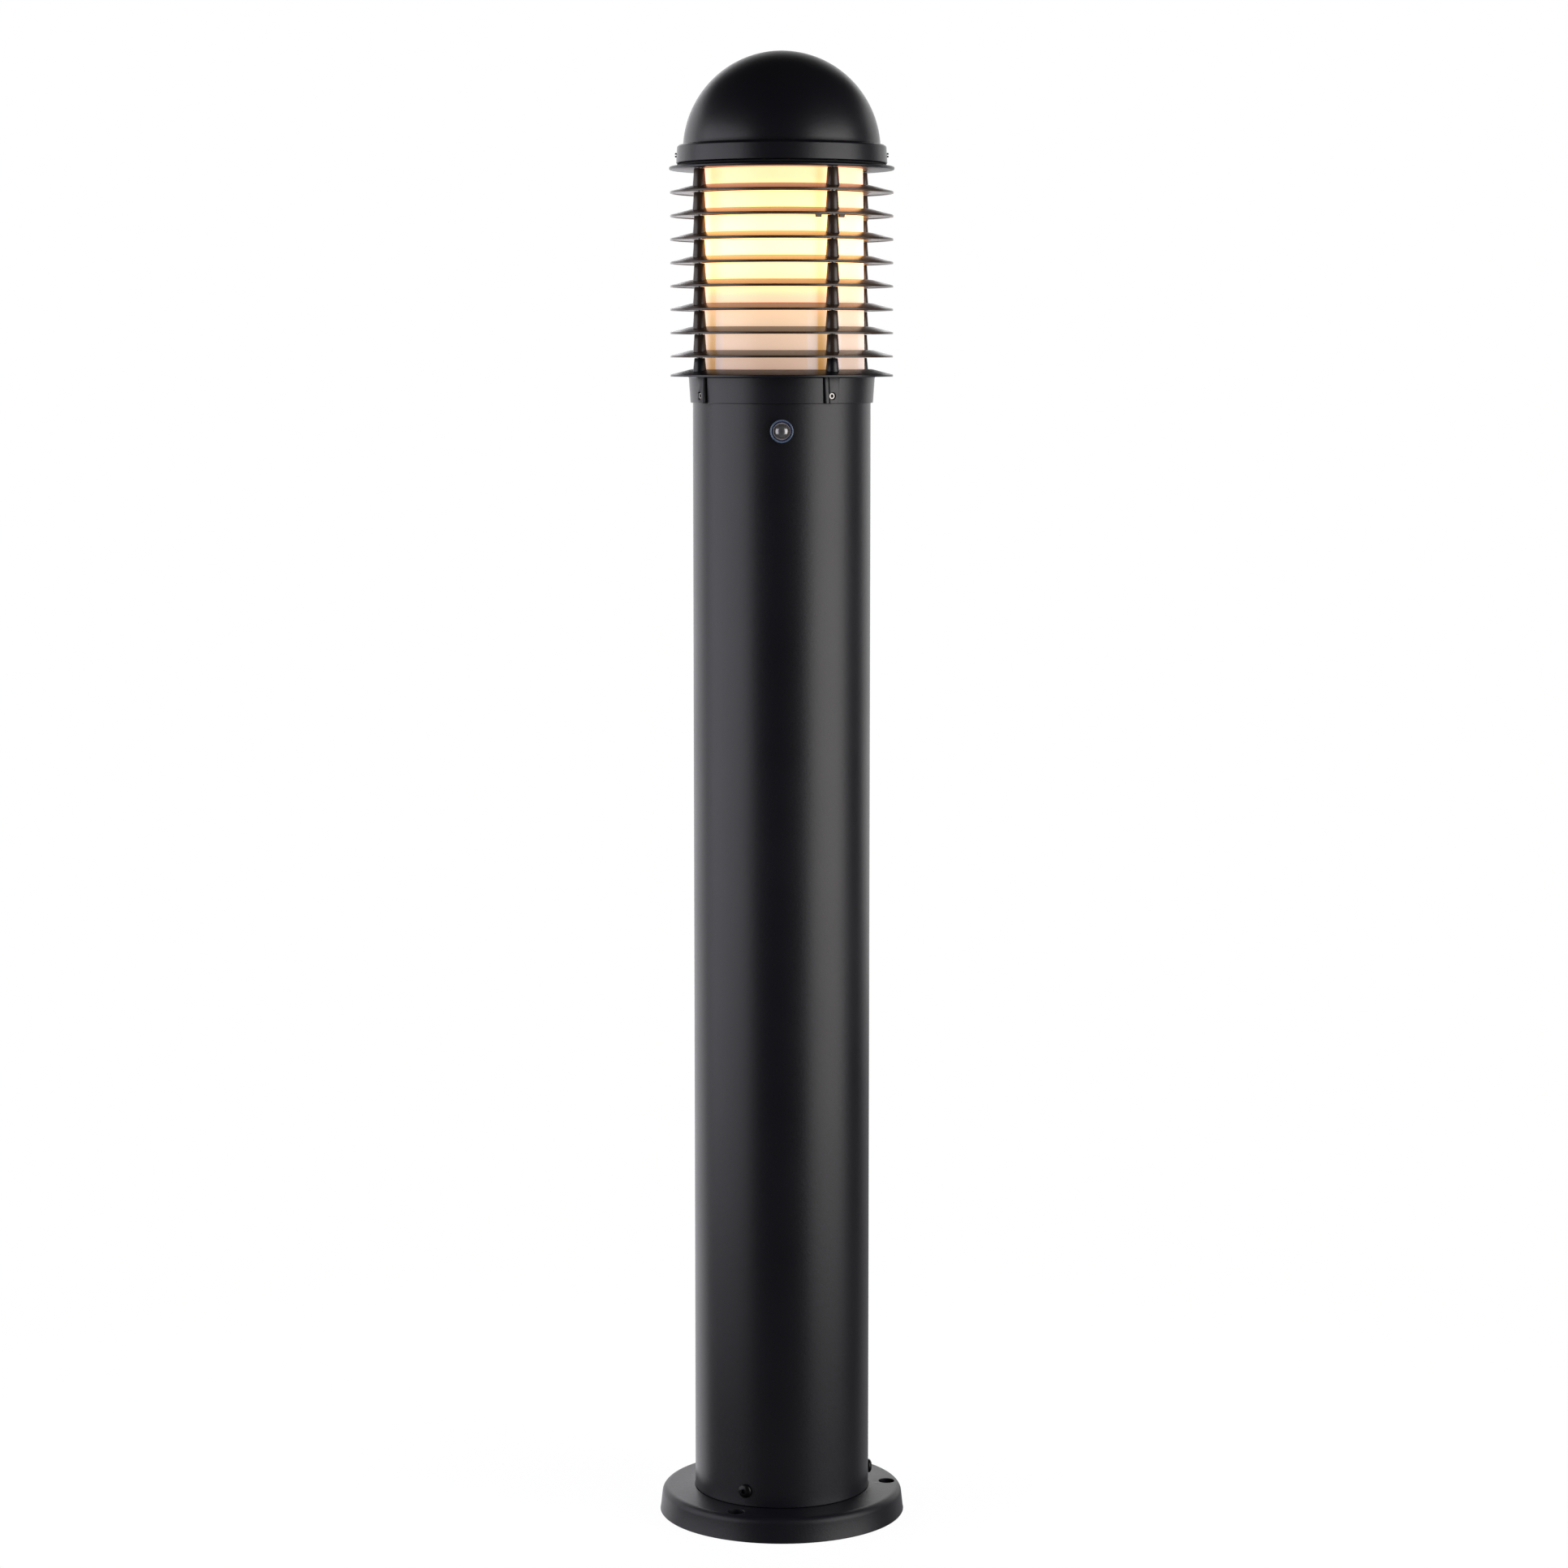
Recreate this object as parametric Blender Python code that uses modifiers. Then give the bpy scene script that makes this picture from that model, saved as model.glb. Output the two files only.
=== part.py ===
"""Bollard light: a round post on a bolted flange, carrying a louvred lantern head with a domed cap.

Metres, +Z up. The origin is on the ground, in the middle of the flange. Angles round the axis run
from the front (-Y, where the light sensor is) toward +X. The head is stacked from separate louvre
rings, held between the collar and the top plate by four long bolts that run inside the ribs.
"""

from math import asin, cos, pi, radians, sin, sqrt, tan

import bmesh
import bpy
from mathutils import Matrix, Vector

# ---- driving dimensions, metres ----
OVERALL_HEIGHT = 1.000
FIT_GAP = 0.0003  # between pieces that touch

# post
POST_RADIUS = 0.060
POST_WALL = 0.003

# base flange
FLANGE_REACH = 0.0245  # flange edge beyond the post
FLANGE_HEIGHT = 0.017
FLANGE_WEB = 0.006
FLANGE_RIM = 0.005
FLANGE_DRAFT = 0.0015
FLANGE_ROUND = 0.005
FOOT_LIP_WIDTH = 0.0018
FOOT_LIP_HEIGHT = 0.001
SPIGOT_WALL = 0.0047
SPIGOT_RISE = 0.030
ANCHOR_REACH = 0.0133  # anchor circle beyond the post
ANCHOR_HOLE_RADIUS = 0.0055
ANCHOR_BOSS_WALL = 0.0035
ANCHOR_ANGLES = (-25, 95, 215)
POST_SCREW_RISE = 0.011  # above the flange's top face
POST_SCREW_ANGLES = (-24, 95, 215)
POST_SCREW_RADIUS = 0.0025
POST_SCREW_HEAD_RADIUS = 0.00475
POST_SCREW_HEAD_HEIGHT = 0.00275
POST_SCREW_KEY = 0.003

# collar
COLLAR_SKIRT = 0.0175
COLLAR_LAP = 0.0103  # how far the collar reaches down over the post
COLLAR_WALL_TOP = 0.0027
COLLAR_WALL_FOOT = 0.0013
LEDGE_THICKNESS = 0.0047
LEDGE_REACH = 0.0128  # inward from the diffuser's outside
DIFFUSER_RECESS_GAP = 0.0017
PAD_WIDTH_TOP = 0.0110
PAD_WIDTH_FOOT = 0.0088
PAD_STAND = 0.0013  # pad face beyond the collar's top radius
PAD_FOOT_RISE = 0.0006
COLLAR_SCREW_RISE = 0.005
COLLAR_SCREW_RADIUS = 0.0024
COLLAR_SCREW_KEY = 0.0022
COLLAR_SCREW_SINK = 0.0004  # screw end behind the pad's face

# louvres and their ribs
LOUVRE_COUNT = 8
LOUVRE_PITCH = 0.0156
FIRST_PITCH = 0.0128  # collar fin to the lowest louvre
LOUVRE_OVERHANG = 0.012  # fin rim beyond the collar
FIN_WIDTH = 0.0165
FIN_RIM = 0.0014
FIN_LAND = 0.0025
FIN_SLOPE = radians(14.3)
RIB_COUNT = 4
RIB_FIRST_ANGLE = 31.5
RIB_INSET = 0.0055  # rib centre beyond the fin's inner edge
RIB_FOOT_RADIUS = 0.0045
RIB_TOP_RADIUS = 0.0035
RIB_SINK = 0.0015  # rib foot below the fin's inner land

# top plate and the bolts that hold the stack
PLATE_THICKNESS = 0.0022
PLATE_OVERHANG = 0.0007
PLATE_OPENING_GAP = 0.0008
LUG_THICKNESS = 0.0026
LUG_WIDTH = 0.012
LUG_HEIGHT = 0.0107
LUG_GAP = 0.0007
BOLT_RADIUS = 0.002
BOLT_HEAD_RADIUS = 0.0035
BOLT_HEAD_HEIGHT = 0.0026
BOLT_HEAD_ROOM = 0.0008
BOLT_SEAT_RISE = 0.003  # bolt end above the collar fin's underside

# cap
CAP_WALL = 0.0025
CAP_GAP = 0.002  # skirt above the top plate
SKIRT_HEIGHT = 0.0127
SKIRT_DROP = 0.0084  # skirt foot below the dome's centre
SKIRT_STEP = 0.0045  # skirt beyond the dome
SKIRT_ROUND = 0.0018
CAP_SCREW_RISE = 0.0057
CAP_SCREW_RADIUS = 0.0015
CAP_SCREW_STAND = 0.001
CAP_SCREW_SLOT = 0.0008
GASKET_SETBACK = 0.0005

# diffuser, seal and reflector
DIFFUSER_CLEARANCE = 0.0027
DIFFUSER_TAPER = 0.0015
DIFFUSER_WALL = 0.0022
SEAL_THICKNESS = 0.0015
SEAL_LAP = 0.002
REFLECTOR_THICKNESS = 0.0012
REFLECTOR_RISE = 0.003

# gear tray and lamp
TRAY_THICKNESS = 0.0015
TRAY_SCREW_COUNT = 3
TRAY_SCREW_RADIUS = 0.0015
TRAY_SCREW_HEAD_RADIUS = 0.00275
TRAY_SCREW_HEAD_HEIGHT = 0.002
GROMMET_HOLE_RADIUS = 0.006
GROMMET_BORE = 0.0038
GROMMET_OFFSET = 0.027  # in front of the axis
GROMMET_LIP = 0.0012
BRACKET_HEIGHT = 0.018
BRACKET_WIDTH = 0.016
BRACKET_HALF_TOP = 0.022
BRACKET_FOOT = 0.011
BRACKET_SHEET = 0.0015
HOLDER_RADIUS = 0.020
HOLDER_HEIGHT = 0.028
HOLDER_FLOOR = 0.005
HOLDER_BORE = 0.0139
NIPPLE_RADIUS = 0.005
NIPPLE_LENGTH = 0.007
NIPPLE_NUT_FLATS = 0.014
NIPPLE_NUT_HEIGHT = 0.003
LAMP_CAP_RADIUS = 0.0132
LAMP_CAP_LENGTH = 0.024
LAMP_SEAT_RISE = 0.0024
LAMP_BODY_HEIGHT = 0.022
LAMP_BODY_RADIUS = 0.026
GLOBE_RADIUS = 0.030
CONTACT_SIZE = (0.009, 0.004, 0.0012)

# wiring
TERMINAL_SIZE = (0.030, 0.014, 0.013)
TERMINAL_OFFSET = 0.020  # behind the axis
TERMINAL_SCREW_SPACING = 0.018
LEAD_RADIUS = 0.0011
EARTH_OFFSET = (0.026, -0.022)

# light sensor
SENSOR_DROP = 0.018  # below the collar's foot
SENSOR_FLANGE_RADIUS = 0.0077
SENSOR_FLANGE_HEIGHT = 0.0022
SENSOR_SHANK_RADIUS = 0.0056
SENSOR_SHANK_LENGTH = 0.0095
SENSOR_BODY_RADIUS = 0.0039
SENSOR_BODY_LENGTH = 0.024
SENSOR_LENS_RADIUS = 0.00535
SENSOR_DOME_RADIUS = 0.0045
SENSOR_SEAL_HEIGHT = 0.001
SENSOR_NUT_FLATS = 0.016
SENSOR_NUT_HEIGHT = 0.003

# outlines of small pieces, as shares of a size
BUTTON_FLAT = 0.55  # flat of a button head over the head's radius
BUTTON_SHOULDER = (0.9, 0.55)  # its shoulder, over the head's radius and height
BUTTON_KEY_DEPTH = 0.6  # socket depth over the head's height
BOLT_FLAT = 0.75  # flat of a bolt's head over the head's radius
PAN_FLAT = 0.7  # flat of a pan head over the head's radius
SET_SCREW_EDGE = 0.15  # chamfer over the collar screw's radius
SLOTTED_EDGE = 0.2  # chamfer over the cap screw's radius
TRAY_SCREW_BITE = 0.8  # screw length in the ledge over the ledge's thickness
HOLDER_FOOT = 0.85  # foot of the lampholder over its radius
LAMP_TIP = 0.35  # contact of the lamp's cap over the cap's radius
LAMP_TIP_RISE = 0.04  # and over the cap's length
LAMP_CONE_RISE = 0.15  # top of the cap's cone over the cap's length
LAMP_BODY_NECK = 1.05  # neck of the housing over the cap's radius
LAMP_BODY_FLARE = 0.75  # top of the housing's flare over its height
SENSOR_FLOOR = 0.3  # floor of the lens seat over the flange's height
SENSOR_FLANGE_EDGE = 0.0006
TERMINAL_EDGE = 0.0008
MERGE_DISTANCE = 0.00001

# facets
ROUND_STEPS = 32
SMALL_STEPS = 12
MEDIUM_STEPS = 20
RIB_STEPS = 8
TINY_STEPS = 8
SENSOR_STEPS = 16
HEXAGON = 6
SOFTEN_ANGLE = radians(40)
SMOOTH_ANGLE = radians(32)
CUT_EXTRA = 0.004  # how far a cutter runs past a wall

# ---- sizes that follow from them ----
POST_BORE = POST_RADIUS - POST_WALL
FLANGE_RADIUS = POST_RADIUS + FLANGE_REACH
SPIGOT_RADIUS = POST_BORE - FIT_GAP
SPIGOT_BORE = SPIGOT_RADIUS - SPIGOT_WALL
ANCHOR_CIRCLE = POST_RADIUS + ANCHOR_REACH
POST_FOOT_Z = FLANGE_HEIGHT + FIT_GAP
POST_SCREW_Z = FLANGE_HEIGHT + POST_SCREW_RISE

COLLAR_BORE = POST_RADIUS + FIT_GAP
COLLAR_TOP_RADIUS = COLLAR_BORE + COLLAR_WALL_TOP
COLLAR_FOOT_RADIUS = COLLAR_BORE + COLLAR_WALL_FOOT
PAD_RADIUS = COLLAR_TOP_RADIUS + PAD_STAND
LOUVRE_RADIUS = COLLAR_TOP_RADIUS + LOUVRE_OVERHANG
FIN_INNER = LOUVRE_RADIUS - FIN_WIDTH
FIN_HEIGHT = FIN_RIM + (FIN_WIDTH - FIN_LAND) * tan(FIN_SLOPE)
RIB_CIRCLE = FIN_INNER + RIB_INSET
RIB_ANGLES = [RIB_FIRST_ANGLE + 360 / RIB_COUNT * turn for turn in range(RIB_COUNT)]
DIFFUSER_FOOT_RADIUS = FIN_INNER - DIFFUSER_CLEARANCE
DIFFUSER_TOP_RADIUS = DIFFUSER_FOOT_RADIUS - DIFFUSER_TAPER
RECESS_RADIUS = DIFFUSER_FOOT_RADIUS + DIFFUSER_RECESS_GAP
LEDGE_BORE = DIFFUSER_FOOT_RADIUS - LEDGE_REACH
PLATE_RADIUS = LOUVRE_RADIUS + PLATE_OVERHANG
PLATE_OPENING = DIFFUSER_FOOT_RADIUS + PLATE_OPENING_GAP
SKIRT_BORE = RIB_CIRCLE + BOLT_HEAD_RADIUS + BOLT_HEAD_ROOM
SKIRT_RADIUS = SKIRT_BORE + CAP_WALL
DOME_RADIUS = SKIRT_RADIUS - SKIRT_STEP
LUG_FACE = sqrt((SKIRT_BORE - LUG_GAP) ** 2 - (LUG_WIDTH / 2) ** 2)

DOME_CENTRE_Z = OVERALL_HEIGHT - DOME_RADIUS
SKIRT_FOOT_Z = DOME_CENTRE_Z - SKIRT_DROP
PLATE_TOP_Z = SKIRT_FOOT_Z - CAP_GAP
PLATE_Z = PLATE_TOP_Z - PLATE_THICKNESS
LOUVRE_FIRST_Z = PLATE_Z - LOUVRE_COUNT * LOUVRE_PITCH
COLLAR_FIN_Z = LOUVRE_FIRST_Z - FIRST_PITCH
COLLAR_FOOT_Z = COLLAR_FIN_Z - COLLAR_SKIRT
LEDGE_Z = COLLAR_FOOT_Z + COLLAR_LAP
LEDGE_TOP_Z = LEDGE_Z + LEDGE_THICKNESS
POST_TOP_Z = LEDGE_Z - FIT_GAP
SEAL_Z = LEDGE_TOP_Z + FIT_GAP
SEAL_BORE = DIFFUSER_FOOT_RADIUS - DIFFUSER_WALL - SEAL_LAP
DIFFUSER_FOOT_Z = SEAL_Z + SEAL_THICKNESS + FIT_GAP
DIFFUSER_TOP_Z = PLATE_TOP_Z
TRAY_RADIUS = SEAL_BORE - 2 * FIT_GAP
TRAY_Z = LEDGE_TOP_Z + FIT_GAP
TRAY_TOP_Z = TRAY_Z + TRAY_THICKNESS
TRAY_SCREW_CIRCLE = (LEDGE_BORE + TRAY_RADIUS) / 2
BRACKET_Z = TRAY_TOP_Z + FIT_GAP
HOLDER_Z = BRACKET_Z + BRACKET_HEIGHT + FIT_GAP
LAMP_CAP_Z = HOLDER_Z + HOLDER_FLOOR + LAMP_SEAT_RISE
LAMP_BODY_Z = LAMP_CAP_Z + LAMP_CAP_LENGTH + FIT_GAP
GLOBE_SEAT_Z = LAMP_BODY_Z + LAMP_BODY_HEIGHT + FIT_GAP
TERMINAL_TOP_Z = LEDGE_TOP_Z
SENSOR_Z = COLLAR_FOOT_Z - SENSOR_DROP

PARTS = "bollard_light"
CUTTERS = "cutters"


# ---- helpers ----
def clear_scene():
    """Remove whatever the scene holds."""
    for obj in list(bpy.data.objects):
        bpy.data.objects.remove(obj, do_unlink=True)


def new_collection(name):
    """A new collection, linked to the scene."""
    group = bpy.data.collections.new(name)
    bpy.context.scene.collection.children.link(group)
    return group


def finish(name, color, roughness, metallic=0.0, alpha=1.0, glow=0.0):
    """A Principled material."""
    made = bpy.data.materials.new(name)
    made.use_nodes = True
    shader = made.node_tree.nodes["Principled BSDF"]
    shader.inputs["Base Color"].default_value = (*color, 1.0)
    shader.inputs["Roughness"].default_value = roughness
    shader.inputs["Metallic"].default_value = metallic
    shader.inputs["Alpha"].default_value = alpha
    shader.inputs["Emission Color"].default_value = (*color, 1.0)
    shader.inputs["Emission Strength"].default_value = glow
    made.diffuse_color = (*color, alpha)
    return made


def powder_coat(piece):
    """Charcoal polyester powder coat on aluminium."""
    return finish(f"{piece}_powder_coat", (0.030, 0.030, 0.033), 0.45)


def black_steel(piece):
    """Blackened steel of the screws in the post's foot."""
    return finish(f"{piece}_black_steel", (0.012, 0.012, 0.013), 0.35, 0.6)


def bright_steel(piece):
    """Stainless or zinc-plated steel."""
    return finish(f"{piece}_bright_steel", (0.62, 0.61, 0.58), 0.3, 1.0)


def black_rubber(piece):
    """Soft black rubber of seals and grommets."""
    return finish(f"{piece}_rubber", (0.012, 0.012, 0.012), 0.8)


def around(radius, degrees, height=0.0):
    """A point at an angle round the axis, from the front (-Y) toward +X."""
    turn = radians(degrees)
    return Vector((radius * sin(turn), -radius * cos(turn), height))


def outward(degrees):
    """The rotation that lays a piece's own +Z along the outward radius at this angle."""
    return Matrix.Rotation(radians(degrees), 3, "Z") @ Matrix.Rotation(pi / 2, 3, "X")


def arc(centre, radius, start, end, steps):
    """Points of an arc in the (radius, height) plane, with angles in degrees from the radius."""
    turns = [radians(start + (end - start) * step / steps) for step in range(steps + 1)]
    return [(centre[0] + radius * cos(turn), centre[1] + radius * sin(turn)) for turn in turns]


def add_object(name, data, dress=None, place=(0, 0, 0), rotation=None, group=PARTS):
    """An object from mesh or curve data, in its collection, at its place."""
    obj = bpy.data.objects.new(name, data)
    obj.location = place
    if rotation is not None:
        obj.rotation_euler = rotation.to_euler()
    if dress is not None:
        data.materials.append(dress)
    bpy.data.collections[group].objects.link(obj)
    return obj


def turned(name, outline, dress=None, place=(0, 0, 0), rotation=None, steps=ROUND_STEPS, group=PARTS):
    """A turned piece. Its (radius, height) outline runs down the outer side and back up inside."""
    mesh = bpy.data.meshes.new(name)
    last = len(outline) - 1
    links = [(point, point + 1) for point in range(last)]
    if outline[0][0] > 0 or outline[last][0] > 0:
        links.append((last, 0))
    mesh.from_pydata([(radius, 0, height) for radius, height in outline], links, [])
    obj = add_object(name, mesh, dress, place, rotation, group)
    screw = obj.modifiers.new("turned", "SCREW")
    screw.axis = "Z"
    screw.angle = 2 * pi
    screw.steps = steps
    screw.render_steps = steps
    screw.use_merge_vertices = True
    screw.merge_threshold = MERGE_DISTANCE
    return obj


def hide_tool(tool):
    """Mark a Boolean operand as a helper."""
    tool.hide_render = True
    tool.display_type = "WIRE"
    return tool


def rods(name, ends, low_radius, high_radius=None, steps=SMALL_STEPS):
    """A helper of round or tapered rods, one between each pair of points."""
    shape = bmesh.new()
    for low, high in ends:
        low, high = Vector(low), Vector(high)
        turn = (high - low).to_track_quat("Z", "Y").to_matrix().to_4x4()
        bmesh.ops.create_cone(
            shape,
            cap_ends=True,
            segments=steps,
            radius1=low_radius,
            radius2=low_radius if high_radius is None else high_radius,
            depth=(high - low).length,
            matrix=Matrix.Translation((low + high) / 2) @ turn,
        )
    mesh = bpy.data.meshes.new(name)
    shape.to_mesh(mesh)
    shape.free()
    return hide_tool(add_object(name, mesh, group=CUTTERS))


def block(name, size, centre, dress=None, rotation=None, group=PARTS, foot_scale=1.0):
    """A box; foot_scale narrows its lower end along X."""
    shape = bmesh.new()
    bmesh.ops.create_cube(shape, size=1.0)
    bmesh.ops.scale(shape, vec=size, verts=shape.verts)
    for vert in shape.verts:
        if vert.co.z < 0:
            vert.co.x *= foot_scale
    mesh = bpy.data.meshes.new(name)
    shape.to_mesh(mesh)
    shape.free()
    return add_object(name, mesh, dress, centre, rotation, group)


def combine(target, tool, operation):
    """Cut a piece with a helper, or join the helper to it."""
    step = target.modifiers.new(tool.name, "BOOLEAN")
    step.solver = "EXACT"
    step.operation = operation
    step.object = hide_tool(tool)


def soften(obj, width):
    """Round the edges by one small chamfer."""
    edge = obj.modifiers.new("edges", "BEVEL")
    edge.width = width
    edge.segments = 1
    edge.limit_method = "ANGLE"
    edge.angle_limit = SOFTEN_ANGLE


def key_socket(name, flats, low, high):
    """A six-sided cutter between two points, this wide across its flats."""
    return rods(name, [(low, high)], flats / 2 / cos(pi / HEXAGON), steps=HEXAGON)


def screw_with_key(name, outline, dress, place, rotation, flats, depth, top):
    """A turned screw with a six-sided socket in its outer end."""
    obj = turned(name, outline, dress, place, rotation, SMALL_STEPS)
    turn = rotation.to_4x4() if rotation is not None else Matrix.Identity(4)
    at = Matrix.Translation(place) @ turn
    low = at @ Vector((0, 0, top - depth))
    high = at @ Vector((0, 0, top + CUT_EXTRA))
    combine(obj, key_socket(f"{name}_key", flats, low, high), "DIFFERENCE")
    return obj


def smooth_route(points, per_span):
    """Points along a smooth curve through a lead's own points."""
    points = [Vector(point) for point in points]
    padded = [2 * points[0] - points[1], *points, 2 * points[-1] - points[-2]]
    route = []
    for span in range(len(points) - 1):
        before, start, end, after = padded[span : span + 4]
        for step in range(per_span):
            part = step / per_span
            route.append(
                start
                + (end - before) * part / 2
                + (before * 2 - start * 5 + end * 4 - after) * part**2 / 2
                + (start * 3 - before - end * 3 + after) * part**3 / 2
            )
    return [*route, points[-1]]


def lead(name, points, color):
    """An insulated wire along a smooth route."""
    curve = bpy.data.curves.new(name, "CURVE")
    curve.dimensions = "3D"
    curve.bevel_depth = LEAD_RADIUS
    curve.bevel_resolution = 2
    curve.use_fill_caps = True
    route = smooth_route(points, 2)
    spline = curve.splines.new("POLY")
    spline.points.add(len(route) - 1)
    for knot, place in zip(spline.points, route, strict=True):
        knot.co = (*place, 1.0)
    return add_object(name, curve, finish(f"{name}_insulation", color, 0.45))


def joint_axis(name, place, pieces):
    """An empty on a joint's axis, which carries the pieces that move."""
    axis = bpy.data.objects.new(name, None)
    axis.empty_display_size = 0.02
    axis.location = place
    bpy.data.collections[PARTS].objects.link(axis)
    bpy.context.view_layer.update()
    for piece in pieces:
        piece.parent = axis
        piece.matrix_parent_inverse = axis.matrix_world.inverted()
    return axis


# ---- base and post ----
def base_flange():
    """Cast flange, hollow underneath, with a spigot inside the post and three anchor holes."""
    lip_inner = POST_RADIUS + FIT_GAP
    lip_outer = lip_inner + FOOT_LIP_WIDTH
    round_centre = (FLANGE_RADIUS - FLANGE_DRAFT - FLANGE_ROUND, FLANGE_HEIGHT - FLANGE_ROUND)
    underside = FLANGE_HEIGHT - FLANGE_WEB
    outline = [
        (SPIGOT_RADIUS, FLANGE_HEIGHT + SPIGOT_RISE),
        (SPIGOT_RADIUS, FLANGE_HEIGHT),
        (lip_inner, FLANGE_HEIGHT),
        (lip_inner, FLANGE_HEIGHT + FOOT_LIP_HEIGHT),
        (lip_outer, FLANGE_HEIGHT),
        *arc(round_centre, FLANGE_ROUND, 90, 0, 3),
        (FLANGE_RADIUS, 0),
        (FLANGE_RADIUS - FLANGE_RIM, 0),
        (FLANGE_RADIUS - FLANGE_RIM, underside),
        (SPIGOT_BORE, underside),
        (SPIGOT_BORE, FLANGE_HEIGHT + SPIGOT_RISE),
    ]
    obj = turned("base_flange", outline, powder_coat("base_flange"))
    middles = [around(ANCHOR_CIRCLE, angle) for angle in ANCHOR_ANGLES]
    sunk = underside + FLANGE_WEB / 2
    boss_ends = [(middle, middle + Vector((0, 0, sunk))) for middle in middles]
    bosses = rods("anchor_bosses", boss_ends, ANCHOR_HOLE_RADIUS + ANCHOR_BOSS_WALL)
    combine(obj, bosses, "UNION")
    low = Vector((0, 0, -CUT_EXTRA))
    high = Vector((0, 0, FLANGE_HEIGHT + CUT_EXTRA))
    holes = rods("anchor_holes", [(at + low, at + high) for at in middles], ANCHOR_HOLE_RADIUS)
    combine(obj, holes, "DIFFERENCE")
    combine(obj, post_screw_holes("spigot_screw_holes"), "DIFFERENCE")
    return obj


def post_screw_holes(name):
    """Radial holes for the three screws at the foot of the post."""
    ends = [
        (
            around(SPIGOT_BORE - CUT_EXTRA, angle, POST_SCREW_Z),
            around(POST_RADIUS + CUT_EXTRA, angle, POST_SCREW_Z),
        )
        for angle in POST_SCREW_ANGLES
    ]
    return rods(name, ends, POST_SCREW_RADIUS + FIT_GAP)


def post_tube():
    """Extruded round tube, drilled for its foot screws and for the light sensor."""
    length = POST_TOP_Z - POST_FOOT_Z
    outline = [(POST_RADIUS, length), (POST_RADIUS, 0), (POST_BORE, 0), (POST_BORE, length)]
    obj = turned("post_tube", outline, powder_coat("post_tube"), (0, 0, POST_FOOT_Z))
    combine(obj, post_screw_holes("post_screw_holes"), "DIFFERENCE")
    sensor_ends = [
        around(POST_BORE - 2 * CUT_EXTRA, 0, SENSOR_Z),
        around(POST_RADIUS + CUT_EXTRA, 0, SENSOR_Z),
    ]
    shank = SENSOR_SHANK_RADIUS + FIT_GAP
    sensor_hole = rods("sensor_hole", [sensor_ends], shank, steps=SENSOR_STEPS)
    combine(obj, sensor_hole, "DIFFERENCE")
    return obj


def post_screws():
    """Button-head screws through the foot of the post into the flange's spigot."""
    head = FIT_GAP
    tip = SPIGOT_BORE - POST_RADIUS + FIT_GAP
    top = head + POST_SCREW_HEAD_HEIGHT
    wide, tall = BUTTON_SHOULDER
    outline = [
        (0, top),
        (POST_SCREW_HEAD_RADIUS * BUTTON_FLAT, top),
        (POST_SCREW_HEAD_RADIUS * wide, head + POST_SCREW_HEAD_HEIGHT * tall),
        (POST_SCREW_HEAD_RADIUS, head),
        (POST_SCREW_RADIUS, head),
        (POST_SCREW_RADIUS, tip),
        (0, tip),
    ]
    for number, angle in enumerate(POST_SCREW_ANGLES, 1):
        name = f"post_screw_{number}"
        place = around(POST_RADIUS, angle, POST_SCREW_Z)
        depth = POST_SCREW_HEAD_HEIGHT * BUTTON_KEY_DEPTH
        dress = black_steel(name)
        screw_with_key(name, outline, dress, place, outward(angle), POST_SCREW_KEY, depth, top)


# ---- collar ----
def rib_tool(name, seat_z, top_z):
    """The tapered ribs of one ring, from inside its fin to just under the ring above."""
    foot_z = seat_z + FIN_HEIGHT - RIB_SINK
    ends = [
        (around(RIB_CIRCLE, angle, foot_z), around(RIB_CIRCLE, angle, top_z - FIT_GAP))
        for angle in RIB_ANGLES
    ]
    return rods(name, ends, RIB_FOOT_RADIUS, RIB_TOP_RADIUS, RIB_STEPS)


def bolt_holes(name, low_z, high_z):
    """Holes for the four long bolts."""
    ends = [
        (around(RIB_CIRCLE, angle, low_z), around(RIB_CIRCLE, angle, high_z))
        for angle in RIB_ANGLES
    ]
    return rods(name, ends, BOLT_RADIUS + FIT_GAP, steps=HEXAGON)


def fin_outline():
    """The fin's section above its flat underside, from the inner land to the rim."""
    return [
        (FIN_INNER, FIN_HEIGHT),
        (FIN_INNER + FIN_LAND, FIN_HEIGHT),
        (LOUVRE_RADIUS, FIN_RIM),
        (LOUVRE_RADIUS, 0),
    ]


def collar_pad(angle):
    """A tapered pad on the collar, under one rib, which carries a set screw."""
    height = COLLAR_SKIRT - PAD_FOOT_RISE + FIN_RIM / 2
    depth = PAD_RADIUS - COLLAR_BORE - COLLAR_WALL_FOOT / 2
    centre = around(PAD_RADIUS - depth / 2, angle, COLLAR_FOOT_Z + PAD_FOOT_RISE + height / 2)
    return block(
        f"collar_pad_{angle:g}",
        (PAD_WIDTH_TOP, depth, height),
        centre,
        rotation=Matrix.Rotation(radians(angle), 3, "Z"),
        group=CUTTERS,
        foot_scale=PAD_WIDTH_FOOT / PAD_WIDTH_TOP,
    )


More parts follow.
